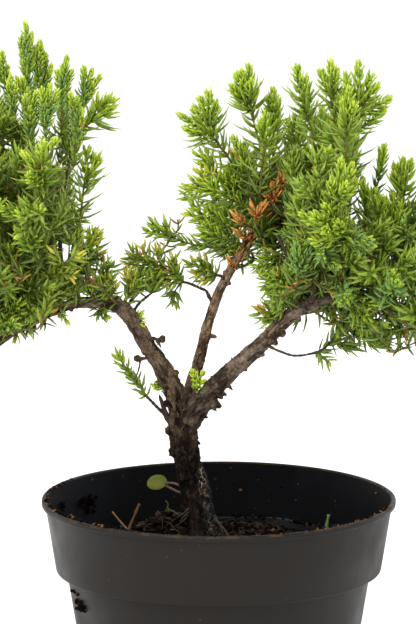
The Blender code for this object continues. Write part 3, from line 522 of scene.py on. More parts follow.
def ramp_node(tree, factor, stops):
    """A colour ramp with (position, colour) stops."""
    made = tree.nodes.new("ShaderNodeValToRGB")
    ramp = made.color_ramp
    while len(ramp.elements) < len(stops):
        ramp.elements.new(0.5)
    for element, (position, colour) in zip(ramp.elements, stops):
        element.position = position
        element.color = (*colour[:3], 1.0)
    tree.links.new(factor, made.inputs["Fac"])
    return made.outputs["Color"]


def mask_node(tree, factor, low, high):
    """Black up to one value and white from another."""
    return ramp_node(tree, factor, [(low, BLACK), (high, WHITE)])


def mix_node(tree, factor, first, second, blend="MIX"):
    """Mixes two colours; each may be a socket or a plain colour."""
    made = tree.nodes.new("ShaderNodeMix")
    made.data_type = "RGBA"
    made.blend_type = blend
    for index, value in ((0, factor), (6, first), (7, second)):
        if isinstance(value, bpy.types.NodeSocket):
            tree.links.new(value, made.inputs[index])
        elif index == 0:
            made.inputs[index].default_value = value
        else:
            made.inputs[index].default_value = (*value[:3], 1.0)
    return made.outputs[2]


def multiply_node(tree, first, second):
    """One colour multiplied by another."""
    return mix_node(tree, 1.0, first, second, "MULTIPLY")


def bump(tree, shader, height, strength, distance):
    """Roughen a shader's normal by a height socket."""
    made = add_node(tree, "ShaderNodeBump", {"Strength": strength, "Distance": distance})
    tree.links.new(height, made.inputs["Height"])
    tree.links.new(made.outputs["Normal"], shader.inputs["Normal"])


def noise_node(tree, vector, scale, detail=4.0, roughness=0.55):
    """A noise texture read at a vector socket; returns its factor."""
    made = add_node(tree, "ShaderNodeTexNoise", {"Scale": scale, "Detail": detail, "Roughness": roughness})
    tree.links.new(vector, made.inputs["Vector"])
    return made.outputs["Fac"]


def scaled_vector(tree, vector, scale):
    """The vector stretched by a Mapping node."""
    made = add_node(tree, "ShaderNodeMapping", {"Scale": scale})
    tree.links.new(vector, made.inputs["Vector"])
    return made.outputs["Vector"]


def plastic_material(name, colour, dirt, dirt_share, roughness, gloss, uneven):
    """Moulded plastic: satin, mottled and scuffed, with dried dirt on it."""
    material, tree, shader = new_material(name, colour, roughness, gloss)
    place = object_place(tree)
    mottle = noise_node(tree, place, 42.0, 5.0)
    dark = toned(colour, max(0.2, 1 - 0.6 * uneven))
    base = ramp_node(tree, mottle, [(0.32, dark), (0.5, colour), (0.72, toned(colour, 1 + uneven))])
    streaks = noise_node(tree, scaled_vector(tree, place, (1.0, 1.0, 5.0)), 420.0, 3.0)
    base = mix_node(tree, mask_node(tree, streaks, 0.66, 0.74), base, toned(colour, 1.6))
    rubbed = mask_node(tree, noise_node(tree, place, 75.0, 6.0, 0.7), 0.60, 0.72)
    base = mix_node(tree, rubbed, base, [part * 1.7 + 0.003 for part in reversed(colour)])
    spots = mask_node(tree, noise_node(tree, place, 110.0, 8.0, 0.7), dirt_share, dirt_share + 0.05)
    base = mix_node(tree, spots, base, dirt)
    specks = add_node(tree, "ShaderNodeTexVoronoi", {"Scale": 380.0, "Randomness": 1.0})
    tree.links.new(place, specks.inputs["Vector"])
    dots = ramp_node(tree, specks.outputs["Distance"], [(0.07, WHITE), (0.13, BLACK)])
    some = mask_node(tree, noise_node(tree, place, 90.0, 2.0), 0.60, 0.64)
    base = mix_node(tree, multiply_node(tree, dots, some), base, toned(dirt, 3))
    tree.links.new(base, shader.inputs["Base Color"])
    rough = ramp_node(tree, mottle, [(0.3, (roughness - 0.10,) * 3), (0.7, (roughness + 0.16,) * 3)])
    tree.links.new(mix_node(tree, spots, rough, (0.9, 0.9, 0.9)), shader.inputs["Roughness"])
    bump(tree, shader, noise_node(tree, place, 900.0, 3.0), 0.12, 0.0002)
    return material


def compost_material(name, colour):
    """Damp compost: near black with brown fibre."""
    material, tree, shader = new_material(name, colour, 0.95, 0.03)
    grain = noise_node(tree, object_place(tree), 380.0, 6.0, 0.7)
    base = ramp_node(tree, grain, [(0.35, toned(colour, 0.35)), (0.55, colour), (0.75, toned(colour, 2.6))])
    tree.links.new(base, shader.inputs["Base Color"])
    bump(tree, shader, grain, 0.8, 0.0008)
    return material


def mottled_material(name, low, high, scale, roughness=0.9):
    """A rough natural surface speckled between two colours."""
    material, tree, shader = new_material(name, high, roughness, 0.12)
    grain = noise_node(tree, object_place(tree), scale, 5.0, 0.7)
    tree.links.new(ramp_node(tree, grain, [(0.36, low), (0.66, high)]), shader.inputs["Base Color"])
    bump(tree, shader, grain, 0.6, 0.0004)
    return material


def bark_material(wood):
    """Bark: fine grained plates with dark cracks between them, with painted shade in the furrows, and painted
    shade that makes it near black at the foot.
    """
    material, tree, shader = new_material("bark", wood.middle, 0.88, 0.12)
    run = attribute_node(tree, "bark_run").outputs["Vector"]
    ruddy, smooth, mossy = axes_of(tree, attribute_node(tree, "bark_kind").outputs["Vector"])
    relief = attribute_node(tree, "bark_relief").outputs["Fac"]
    place = object_place(tree)
    grain = noise_node(tree, scaled_vector(tree, run, (900.0, 1700.0, 1700.0)), 1.0, 6.0, 0.72)
    blotch = noise_node(tree, scaled_vector(tree, run, (260.0, 380.0, 380.0)), 1.0, 5.0, 0.7)
    base = ramp_node(tree, grain, [(0.28, wood.dark), (0.50, wood.middle), (0.74, wood.light)])
    shade = ramp_node(tree, blotch, [(0.34, (0.60, 0.54, 0.50)), (0.50, (1.0, 0.98, 0.96)),
                                     (0.66, (1.40, 1.40, 1.38))])
    base = multiply_node(tree, base, shade)
    base = mix_node(tree, ruddy, base, multiply_node(tree, base, wood.ruddy))
    worn = noise_node(tree, scaled_vector(tree, run, (1500.0, 600.0, 600.0)), 1.0, 5.0, 0.65)
    grey = ramp_node(tree, worn, [(0.34, (0.11, 0.080, 0.060)), (0.52, (0.24, 0.195, 0.160)),
                                  (0.70, (0.38, 0.335, 0.290))])
    grey = multiply_node(tree, grey, shade)
    base = mix_node(tree, multiply_node(tree, smooth, (0.62, 0.62, 0.62)), base, grey)
    # Painted shade in the furrows and lighter ridges: the colour darkens where the carved relief is low and
    # lightens where it is high, partly wear and partly painted highlight
    crest = ramp_node(tree, relief, [(0.12, (0.24, 0.20, 0.18)), (0.40, (0.90, 0.87, 0.85)),
                                     (0.80, (1.30, 1.28, 1.26))])
    base = multiply_node(tree, base, crest)
    # Painted shade: the bark darkens towards the trunk's foot under the crown, blotched by noise
    low = add_node(tree, "ShaderNodeMapRange",
                   {"From Min": 0.120, "From Max": 0.164, "To Min": 1.0, "To Max": 0.0})
    tree.links.new(axes_of(tree, place)[2], low.inputs["Value"])
    foot_shade = ramp_node(tree, blotch, [(0.42, (0.035, 0.025, 0.022)), (0.62, (0.20, 0.17, 0.16))])
    base = mix_node(tree, low.outputs["Result"], base, multiply_node(tree, base, foot_shade))
    tufts = noise_node(tree, place, 620.0, 8.0, 0.78)
    lichen = ramp_node(tree, tufts, [(0.44, (0.003, 0.003, 0.003)), (0.52, (0.020, 0.021, 0.021)),
                                     (0.60, (0.070, 0.070, 0.066)), (0.70, (0.22, 0.19, 0.14))])
    tree.links.new(mix_node(tree, mossy, base, lichen), shader.inputs["Base Color"])
    bump(tree, shader, grain, 0.7, 0.0005)
    return material


def needle_materials(name, colour):
    """The three plain tones of one hue of needle: keel, paler upper face and tip."""
    pale = [min(1.0, part * 1.35 + 0.012) for part in colour]
    tip = [min(1.0, part * share) for part, share in zip(colour, (1.45, 1.25, 1.0))]
    made = []
    for ending, tone in (("keel", colour), ("band", pale), ("tip", tip)):
        material, _, shader = new_material(f"needle_{name}_{ending}", tone, 0.48, 0.4)
        shader.inputs["Subsurface Weight"].default_value = 0.3
        shader.inputs["Subsurface Radius"].default_value = (0.8, 1.0, 0.3)
        shader.inputs["Subsurface Scale"].default_value = 0.0012
        made.append(material)
    return made


# ---------------- pieces

def keep_piece(obj, nodes=()):
    """The piece moves with the plant and stands for some nodes."""
    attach(obj, "root")
    if nodes:
        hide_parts(*nodes)


def link_mesh(name, mesh, materials):
    """A mesh with its materials, as an object of the scene."""
    for material in materials:
        mesh.materials.append(material)
    obj = bpy.data.objects.new(name, mesh)
    bpy.context.collection.objects.link(obj)
    return obj


def object_from_bmesh(name, bm, materials, sharp_angle=40.0):
    """Turn a bmesh into a smooth shaded object."""
    mesh = bpy.data.meshes.new(name)
    bm.to_mesh(mesh)
    bm.free()
    mesh.shade_smooth()
    mesh.set_sharp_from_angle(angle=math.radians(sharp_angle))
    return link_mesh(name, mesh, materials)


def apply_modifiers(obj):
    """Replace an object's mesh with what its modifiers make of it."""
    graph = bpy.context.evaluated_depsgraph_get()
    mesh = bpy.data.meshes.new_from_object(obj.evaluated_get(graph))
    obj.modifiers.clear()
    obj.data = mesh


class Heap:
    """Many small shapes, gathered as arrays and joined into one mesh."""

    def __init__(self):
        self.places = []
        self.faces = []
        self.tones = []
        self.count = 0

    def add(self, places, faces, tones):
        """Add one shape or a block of copies: points, triangles and a material number for each triangle."""
        self.places.append(places.reshape(-1, 3))
        self.faces.append(faces.reshape(-1, 3) + self.count)
        self.tones.append(np.broadcast_to(tones, (len(self.faces[-1]),)))
        self.count += len(self.places[-1])

    def make(self, name, materials):
        """Join everything into one object."""
        mesh = bpy.data.meshes.new(name)
        mesh.from_pydata(np.concatenate(self.places), [], np.concatenate(self.faces))
        mesh.polygons.foreach_set("material_index", np.concatenate(self.tones).astype(np.int32))
        mesh.shade_smooth()
        mesh.update()
        return link_mesh(name, mesh, materials)


def template_arrays(bm):
    """A bmesh as points and triangles."""
    bmesh.ops.triangulate(bm, faces=bm.faces[:])
    bmesh.ops.recalc_face_normals(bm, faces=bm.faces[:])
    bm.verts.index_update()
    points = np.array([vert.co[:] for vert in bm.verts])
    faces = np.array([[vert.index for vert in face.verts] for face in bm.faces])
    bm.free()
    return points, faces


def unit(vector):
    """The vector at length one."""
    return vector / max(np.linalg.norm(vector), 1e-12)


def hermite(start, pull_start, end, pull_end, t):
    """Places at t, from 0 to 1, on a curve between two ends, each with its pull along the curve."""
    return (start * (2 * t ** 3 - 3 * t ** 2 + 1) + pull_start * (t ** 3 - 2 * t ** 2 + t)
            + end * (3 * t ** 2 - 2 * t ** 3) + pull_end * (t ** 3 - t ** 2))


def smooth_line(points, step):
    """Points about a step apart on a smooth curve through rows of numbers; all columns are smoothed."""
    points = np.asarray(points, float)
    made = [points[0]]
    for index in range(len(points) - 1):
        start, end = points[index], points[index + 1]
        before = points[index - 1] if index else start * 2 - end
        after = points[index + 2] if index + 2 < len(points) else end * 2 - start
        count = max(2, round(np.linalg.norm((end - start)[:3]) / step))
        for part in range(1, count + 1):
            made.append(hermite(start, (end - before) / 2, end, (after - start) / 2, part / count))
    return np.array(made)


def distances(line):
    """Distance of each point of a line from its start."""
    return np.concatenate(([0.0], np.cumsum(np.linalg.norm(np.diff(line, axis=0), axis=1))))


def line_ways(points):
    """Direction of a line at each of its points."""
    ways = np.gradient(points, axis=0)
    return ways / np.linalg.norm(ways, axis=1)[:, None]


def line_frames(points):
    """Direction and two square sides at each point of a line, without twist."""
    ways = line_ways(points)
    side = unit(np.cross(ways[0], (0.0, 1.0, 0.2)))
    sides = []
    for way in ways:
        side = unit(side - way * np.dot(side, way))
        sides.append(side)
    return ways, np.array(sides), np.cross(ways, sides)


def tube_arrays(points, radii, sides):
    """Points and triangles of a closed tube along a line."""
    _, across, over = line_frames(points)
    turn = np.arange(sides) * math.tau / sides
    rings = (across[:, None] * np.cos(turn)[None, :, None] + over[:, None] * np.sin(turn)[None, :, None])
    places = points[:, None] + rings * np.asarray(radii)[:, None, None]
    faces = []
    for ring in range(len(points) - 1):
        for corner in range(sides):
            low, low_next = ring * sides + corner, ring * sides + (corner + 1) % sides
            high, high_next = low + sides, low_next + sides
            faces += [(low, low_next, high_next), (low, high_next, high)]
    last = (len(points) - 1) * sides
    for corner in range(1, sides - 1):
        faces += [(0, corner + 1, corner), (last, last + corner, last + corner + 1)]
    return places.reshape(-1, 3), np.array(faces)


def uneven(line, pitch, seed):
    """Smooth random numbers along a line, for swelling a twig."""
    return np.array([noise.noise((step * pitch, *seed)) for step in range(len(line))])


# ---------------- pot

# How finely the pots are rounded and turned
ARC_STEPS = 4
POT_TURNS = 180
GROW_TURNS = 144
# Height in metres where the thin wall warps the most
WARP_TOP = 0.110
# Where the nursery pot's materials change, in metres: depths below its top and distances from the middle.
# Inside the pot the plastic is painted darker, as painted shade
LIP_DEPTH = 0.0010
LIP_RADIUS = 0.050
INSIDE_DEPTH = 0.0004
FLOOR_RADIUS = 0.030
# Faces whose normal points up at least this much are level
LEVEL = 0.95
# Drain holes: how many, and their ring, radius, depth and height in metres
HOLES = 6
HOLE_RING = 0.030
HOLE_RADIUS = 0.004
HOLE_CUT = 0.006
HOLE_HEIGHT = 0.001


def rounded_profile(corners):
    """A profile of (radius, height, rounding) corners in millimetres, with its corners turned to arcs."""
    points = []
    for index, (radius, height, rounding) in enumerate(corners):
        here = np.array((radius, height), float)
        if not rounding:
            points.append(here)
            continue
        before = np.array(corners[index - 1][:2], float) - here
        after = np.array(corners[(index + 1) % len(corners)][:2], float) - here
        start = here + unit(before) * rounding
        end = here + unit(after) * rounding
        for step in range(ARC_STEPS + 1):
            t = step / ARC_STEPS
            points.append(start * (1 - t) ** 2 + here * 2 * t * (1 - t) + end * t ** 2)
    return points


def spun(profile, steps):
    """A bmesh of a profile of (radius, height) points in millimetres, spun round Z."""
    bm = bmesh.new()
    verts = [bm.verts.new((radius * MM, 0.0, height * MM)) for radius, height in profile]
    for first, second in zip(verts, verts[1:]):
        bm.edges.new((first, second))
    bmesh.ops.spin(bm, geom=bm.verts[:] + bm.edges[:], cent=(0, 0, 0), axis=(0, 0, 1), angle=math.tau,
                   steps=steps, use_merge=True)
    bmesh.ops.remove_doubles(bm, verts=bm.verts[:], dist=1e-6)
    bmesh.ops.recalc_face_normals(bm, faces=bm.faces[:])
    return bm


def pot_profile(pot):
    """Outer wall up to the lip, over it and down the inner wall to the floor."""
    rim, height, wall, step = pot.rim_radius / MM, pot.height / MM, pot.wall / MM, pot.collar_foot / MM
    collar, neck, foot, under_lip = rim - 5.1, rim - 8.9, rim - 22.5, rim - 1.4
    return rounded_profile([
        (0.0, 0.9, 0), (foot - 6.0, 0.9, 0.5), (foot - 4.6, 0.0, 0.5), (foot, 0.0, 1.2),
        (neck, step, 0.2), (collar, step, 0.55), (under_lip, height - 2.4, 0.15),
        (rim, height - 2.1, 0.35), (rim + 0.05, height, 0.75), (rim - 1.6, height, 0.6),
        (collar - wall, step + wall, 0.7), (neck - wall, step + wall, 0.7),
        (foot - wall, 2.2, 1.4), (0.0, 2.2, 0)])


def grow_profile(pot):
    """The thin inner pot: out and up its wall, over the small lip and down inside."""
    rim, height = pot.grow_radius / MM, pot.grow_height / MM
    return rounded_profile([
        (0.0, 2.7, 0), (rim - 12.8, 2.7, 0.6), (rim - 1.5, height - 1.9, 0.3), (rim, height - 1.7, 0.3),
        (rim, height, 0.45), (rim - 2.2, height, 0.4), (rim - 13.7, 3.7, 0.6), (0.0, 3.7, 0)])


def wobble(place):
    """Warp of the thin wall, in metres outwards: none at the foot and most at the lip."""
    angle = math.atan2(place[1], place[0])
    share = min(1.0, max(0.0, place[2] / WARP_TOP)) ** 2
    return share * (0.00022 * math.sin(2 * angle + 0.6) + 0.00012 * math.sin(5 * angle + 1.9))


def pot_body(pot, materials):
    """The nursery pot before its holes: outside, inside and lip each in a material of its own."""
    bm = spun(pot_profile(pot), POT_TURNS)
    for vert in bm.verts:
        out = wobble(vert.co)
        radius = math.hypot(vert.co.x, vert.co.y)
        if radius > 1e-6:
            vert.co.x *= 1 + out / radius
            vert.co.y *= 1 + out / radius
    for face in bm.faces:
        middle = face.calc_center_median()
        radius = math.hypot(middle.x, middle.y)
        # Inward faces and level faces below the top take the inside material, painted darker as painted shade
        # inside the pot
        inward = face.normal.x * middle.x + face.normal.y * middle.y < 0 and radius > FLOOR_RADIUS
        below = middle.z < pot.height - INSIDE_DEPTH
        face.material_index = int((inward or face.normal.z > LEVEL) and below)
        # The lip's top takes the lip material, painted lighter: partly wear, partly painted highlight where
        # light falls on it
        if middle.z > pot.height - LIP_DEPTH and radius > LIP_RADIUS:
            face.material_index = 2
    return object_from_bmesh("nursery_pot", bm, materials, 35.0)


def drain_holes(body, material):
    """Cut the ring of drain holes through the floor."""
    bm = bmesh.new()
    for hole in range(HOLES):
        angle = math.tau * hole / HOLES
        place = Matrix.Translation((HOLE_RING * math.cos(angle), HOLE_RING * math.sin(angle), HOLE_HEIGHT))
        bmesh.ops.create_cone(bm, cap_ends=True, segments=28, radius1=HOLE_RADIUS, radius2=HOLE_RADIUS,
                              depth=HOLE_CUT, matrix=place)
    cutter = object_from_bmesh("drain_hole_cutter", bm, [material])
    cut = body.modifiers.new("Drain holes", "BOOLEAN")
    cut.object = cutter
    cut.operation = "DIFFERENCE"
    apply_modifiers(body)
    bpy.data.objects.remove(cutter, do_unlink=True)


def thin_pot(pot, material):
    """The thin inner pot, bowed and uneven towards its lip."""
    bm = spun(grow_profile(pot), GROW_TURNS)
    for vert in bm.verts:
        angle = math.atan2(vert.co.y, vert.co.x)
        share = (vert.co.z / pot.grow_height) ** 3
        bow = share * (0.0006 * math.sin(3 * angle + 0.4) + 0.0003 * math.sin(8 * angle))
        vert.co.x += bow * math.cos(angle)
        vert.co.y += bow * math.sin(angle)
        vert.co.z += share * (0.0005 * math.sin(2 * angle + 1.0) + 0.00025 * math.sin(7 * angle + 0.5))
    return object_from_bmesh("grow_pot", bm, [material], 35.0)


class JUNIPER_OT_build_pot(bpy.types.Operator):
    """Build the nursery pot with its collar, lip and drain holes, and the thin pot inside it"""

    bl_idname = "juniper.build_pot"
    bl_label = "Build Pot"

    def execute(self, context):
        pot = context.scene.juniper_pot
        outside = plastic_material("pot_plastic", pot.outer_colour, (0.024, 0.016, 0.011),
                                   0.68, 0.46, 0.20, 0.35)
        # Inside: the plastic painted much darker, as painted shade where it lies in the pot
        inside = plastic_material("pot_inner_plastic", pot.inner_shaded_colour, (0.022, 0.012, 0.006),
                                  0.64, 0.52, 0.08, 2.2)
        # The lip: the outer plastic painted 1.3 times lighter, partly wear and partly painted highlight
        lip = plastic_material("pot_lip_plastic", toned(pot.outer_colour, 1.3), (0.050, 0.032, 0.020),
                               0.50, 0.50, 0.20, 0.5)
        body = pot_body(pot, [outside, inside, lip])
        drain_holes(body, outside)
        keep_piece(body, ["pot"])
        thin = plastic_material("grow_pot_plastic", (0.0040, 0.0046, 0.0062), (0.006, 0.004, 0.003),
                                0.46, 0.38, 0.30, 0.8)
        keep_piece(thin_pot(pot, thin), ["grow_pot"])
        return {"FINISHED"}


# ---------------- compost and litter

# The compost in millimetres: the trunk's foot, the mound round it, and the plug with its rings
TRUNK_FOOT = (-5.7, 8.0)
MOUND_FLAT = 11.5
MOUND_REACH = 38.0
SOIL_RADIUS = 43.6
SOIL_TURNS = 150
SOIL_RINGS = 46
# How far from the middle loose things lie, in millimetres
CRUMB_REACH = 42.6
STREWN_REACH = 40
FIBRE_REACH = 43
# How many chips there are and how many of them are strewn, how many grains and fibres, and the most and
# fewest points of a fibre
CHIP_COUNT = 190
STREWN_CHIPS = 130
GRIT_COUNT = 14
FIBRE_COUNT = 60
FIBRE_STEPS = 9
SHORTEST_FIBRE = 4
# Loose dirt on the pot: number of crumbs, first and last degrees round it, distance from the middle and
# height (both as a range, in millimetres) and largest size
POT_DIRT = [
    (90, 200, 234, (62.4, 64.2), (109.8, 110.3), 1.1), (70, 234, 288, (62.6, 64), (109.9, 110.2), 0.65),
    (110, 288, 345, (62.6, 64.1), (109.9, 110.2), 0.75), (60, 150, 200, (62.6, 64.1), (109.9, 110.2), 0.7),
    (260, 0, 360, (43.4, 46), (92.8, 93.5), 1.3), (20, 10, 150, (62.6, 64), (109.8, 110.1), 0.4),
    (14, 195, 204, (54.8, 55.9), (78, 79.4), 0.9), (110, 0, 360, (48.5, 57), (85.2, 86), 0.9),
    (60, 150, 210, (57.6, 58.6), (86, 92), 1), (26, 201, 208, (54.4, 55.6), (72.8, 76.8), 1.5),
    (34, 166, 192, (59.6, 60.8), (96, 102), 0.7), (44, 140, 150, (60, 61), (96, 102.5), 1.3),
    (12, 161, 167, (60.4, 61.4), (100.5, 104), 1), (16, 40, 140, (58.6, 61.6), (88, 104), 0.6),
]
# Dirt above this height, in millimetres, lies on the lip and is paler
LIP_DIRT_ABOVE = 105
# The inner wall: its radius at a height, in metres, and how much it widens on the way up
WALL_RADIUS = 0.0592
WALL_HEIGHT = 0.090
WALL_SLOPE = 0.206
# Single specks stuck to the inner wall: degrees, height and size in millimetres, tone
WALL_SPECKS = [
    (85.4, 107.6, 0.8, 3), (81.8, 99.3, 1.3, 4), (91, 103.4, 0.7, 3), (75.4, 103.5, 0.7, 3),
    (76, 92.6, 0.7, 3), (60, 103.1, 0.9, 3), (60.4, 97.1, 0.7, 3), (19.4, 106.8, 0.8, 4),
    (43, 99.1, 0.8, 3), (125.8, 106.7, 0.8, 3), (139.7, 107.8, 0.7, 4),
]
# The other chips heap up behind the trunk: middle and spread, across and back, in millimetres
CHIP_HEAP = ((-19, 6), (15, 5))
# Chips that show on the compost: place, length in millimetres, turn in degrees and tone
SOIL_CHIPS = [
    (7, -16, 8, 8, 3), (14, -20, 6, -20, 2), (-24, -10, 9, 12, 2), (-14, -14, 8, -18, 1),
    (-30, 4, 10, 4, 1), (4, -24, 5, 30, 2), (22, -14, 8, 6, 1), (-4, -22, 4, 60, 2),
]
# Twigs and shoots on the compost in millimetres, with the radius at both ends and their tone
SOIL_TWIGS = [
    ([(-29, -5, 108.6), (-30.6, -6.2, 105), (-33, -8, 99.4), (-34.2, -8.4, 95), (-35, -9, 90)],
     0.42, 0.66, 5),
    ([(-39, -5, 105.6), (-36.4, -6.4, 102.6), (-33.4, -8, 99.6)], 0.3, 0.42, 3),
    ([(-19.7, 12, 106), (-18.6, 11.6, 104.6), (-19, 11, 103.2), (-16.6, 10, 102.2), (-14.6, 9, 101)],
     0.3, 0.36, 6),
    ([(-24, 2, 93.5), (-18, 1, 94.5), (-12, 3, 96)], 0.5, 0.35, 1),
    ([(14, -6, 95), (22, -2, 93.4), (32, -5, 91.6)], 0.5, 0.35, 1),
    ([(39.6, 10, 90), (40, 10, 95), (41, 10, 101)], 0.85, 0.6, 4),
    ([(30, 2, 92), (34, -1, 96), (37, -4, 101)], 0.3, 0.2, 2),
]
# Two pale stalks of a seedling beside the trunk, in millimetres
SEEDLING_STALKS = [
    [(-19.6, 13.6, 112.4), (-16, 10, 112.8), (-12, 6, 111.6)],
    [(-19.4, 13.6, 111.2), (-15.5, 10, 110), (-11.5, 6, 109.4)],
]
# Its round leaf: place and half size in metres
SEEDLING_LEAF_PLACE = (-0.0229, 0.014, 0.1125)
SEEDLING_LEAF_SIZE = (3.8 * MM, 0.35 * MM, 2.8 * MM)


def soil_height(soil, x, y):
    """Height of the compost in metres at a place in millimetres, without its crumbs."""
    away = math.hypot(x - TRUNK_FOOT[0], y - TRUNK_FOOT[1])
    share = min(1.0, max(0.0, (away - MOUND_FLAT) / (MOUND_REACH - MOUND_FLAT)))
    share = share * share * (3 - 2 * share)
    mound = soil.seat_height + (soil.edge_height - soil.seat_height) * share
    heap = 6.5 * math.exp(-((x + 19) ** 2 + (y - 17) ** 2) / 90)
    clods = heap + 1.1 * noise.noise((x / 14, y / 14, 0.3)) + 0.8 * noise.noise((x / 5, y / 5, 4.1))
    crumb = 0.5 * noise.noise((x / 1.9, y / 1.9, 7.7)) + 0.25 * noise.noise((x / 0.9, y / 0.9, 2.2))
    return mound + (clods + crumb - 0.3) * MM


def on_soil(soil, x, y, lift):
    """A place in metres over the compost; all that it is given is in millimetres."""
    return x * MM, y * MM, soil_height(soil, x, y) + lift * MM


class JUNIPER_OT_build_soil(bpy.types.Operator):
    """Build the plug of compost that fills the inner pot, mounded round the trunk"""

    bl_idname = "juniper.build_soil"
    bl_label = "Build Compost"

    def execute(self, context):
        soil = context.scene.juniper_soil
        edge = soil.edge_height / MM
        profile = [(0.0, 4.0), (32.2, 4.0), (SOIL_RADIUS - 0.1, edge - 0.6)]
        profile += [(SOIL_RADIUS * (1 - ring / SOIL_RINGS), edge) for ring in range(SOIL_RINGS + 1)]
        bm = spun(profile, SOIL_TURNS)
        for vert in bm.verts:
            if vert.co.z > (edge - 0.3) * MM:
                vert.co.z = soil_height(soil, vert.co.x / MM, vert.co.y / MM)
        plug = object_from_bmesh("compost", bm, [compost_material("compost", soil.colour)], 60.0)
        keep_piece(plug, ["soil"])
        return {"FINISHED"}


def crumb_template():
    """A round crumb of unit radius."""
    bm = bmesh.new()
    bmesh.ops.create_icosphere(bm, subdivisions=1, radius=1.0)
    for vert in bm.verts:
        vert.co *= 1 + 0.35 * noise.noise(vert.co * 1.7)
    return template_arrays(bm)


def chip_template():
    """A splinter of bark of unit length: a box tapered to one end."""
    bm = bmesh.new()
    bmesh.ops.create_cube(bm, size=1.0)
    long_edges = [edge for edge in bm.edges if abs(edge.verts[0].co.x - edge.verts[1].co.x) > 0.5]
    bmesh.ops.subdivide_edges(bm, edges=long_edges, cuts=2)
    for vert in bm.verts:
        taper = 1 - 0.75 * abs(vert.co.x * 2) ** 2.2
        vert.co.y *= 0.30 * taper
        vert.co.z *= 0.12 * taper
        vert.co.z -= 0.10 * vert.co.x ** 2
    return template_arrays(bm)


def random_turn(rng, flat):
    """A random turn about Z and a tilt off the level, smaller the flatter it lies."""
    turn = Matrix.Rotation(rng.uniform(0, math.tau), 3, "Z")
    tilt = Matrix.Rotation(rng.normal(0, 1 - flat), 3, "X") @ Matrix.Rotation(rng.normal(0, 1 - flat), 3, "Y")
    return np.array(turn @ tilt)


def random_spot(rng, reach):
    """A random place on the compost, in millimetres."""
    radius = reach * math.sqrt(rng.uniform(0, 1))
    angle = rng.uniform(0, math.tau)
    return radius * math.cos(angle), radius * math.sin(angle)


def round_place(angle, away, height):
    """A place at an angle round the pot, its distance from the middle and its height."""
    return away * math.cos(angle), away * math.sin(angle), height


def compost_crumbs(soil, rng):
    """Loose crumbs on the compost, on both lips and on the inner wall."""
    crumbs = Heap()
    points, faces = crumb_template()
    for _ in range(soil.crumbs):
        x, y = random_spot(rng, CRUMB_REACH)
        size = 0.35 + 0.45 * rng.gamma(1.4, 0.6)
        shape = points * np.array((1, rng.uniform(0.6, 1), rng.uniform(0.5, 0.9))) * size * MM
        crumbs.add(shape @ random_turn(rng, 0.2).T + on_soil(soil, x, y, 0.25 * size), faces,
                   int(rng.choice(4, p=(0.60, 0.28, 0.10, 0.02))))
    for count, first, last, reach, height, largest in POT_DIRT:
        shares = (0.42, 0.30, 0.16, 0.0, 0.12) if height[0] > LIP_DIRT_ABOVE else (0.70, 0.22, 0.08, 0.0, 0.0)
        for _ in range(count):
            angle = math.radians(rng.uniform(first, last))
            away = rng.uniform(*reach) * MM
            shape = points * np.array((1, rng.uniform(0.6, 1), 0.6)) * largest * rng.uniform(0.4, 1) * MM
            place = round_place(angle, away, rng.uniform(*height) * MM)
            crumbs.add(shape @ random_turn(rng, 0.2).T + place, faces, int(rng.choice(5, p=shares)))
    for degrees, height, size, tone in WALL_SPECKS:
        angle = math.radians(degrees)
        away = WALL_RADIUS + WALL_SLOPE * (height * MM - WALL_HEIGHT)
        shape = points * np.array((0.35, rng.uniform(0.6, 1), rng.uniform(0.5, 0.9))) * size * MM
        turn = np.array(Matrix.Rotation(angle, 3, "Z"))
        crumbs.add(shape @ turn.T + round_place(angle, away, height * MM), faces, tone)
    tints = [(0.0035, 0.0025, 0.002), (0.008, 0.0048, 0.0034), (0.022, 0.012, 0.0075), (0.060, 0.040, 0.026),
             (0.16, 0.085, 0.040)]
    return crumbs.make("compost_crumbs", plain_materials("crumb", tints, 0.95, 0.03))


def bark_chips(soil, rng):
    """Splinters of bark, strewn and in a little heap behind the trunk, and those that show by themselves."""
    chips = Heap()
    points, faces = chip_template()
    for chip in range(CHIP_COUNT):
        if chip < STREWN_CHIPS:
            x, y = random_spot(rng, STREWN_REACH)
        else:
            x, y = (middle + rng.normal(0, spread) for middle, spread in CHIP_HEAP)
        size = rng.uniform(2.0, 6.5)
        chips.add(points * size * MM @ random_turn(rng, 0.78).T + on_soil(soil, x, y, 0.5), faces,
                  int(rng.choice(3, p=(0.55, 0.35, 0.10))))
    for x, y, size, degrees, tone in SOIL_CHIPS:
        turn = np.array(Matrix.Rotation(math.radians(degrees), 3, "Z"))
        chips.add(points * size * MM @ turn.T + on_soil(soil, x, y, 1.2), faces, tone)
    tints = [(0.009, 0.005, 0.0035), (0.030, 0.015, 0.009), (0.080, 0.046, 0.028), (0.22, 0.15, 0.10)]
    return chips.make("bark_chips", plain_materials("chip", tints, 0.85, 0.12))


def grit_grains(soil, rng):
    """A few pale grains of grit."""
    grit = Heap()
    points, faces = crumb_template()
    for _ in range(GRIT_COUNT):
        x, y = random_spot(rng, CRUMB_REACH)
        size = rng.uniform(0.25, 0.6)
        grit.add(points * size * MM @ random_turn(rng, 0.2).T + on_soil(soil, x, y, 0.4 * size), faces, 0)
    return grit.make("grit", [new_material("grit", (0.20, 0.18, 0.15), 0.8)[0]])


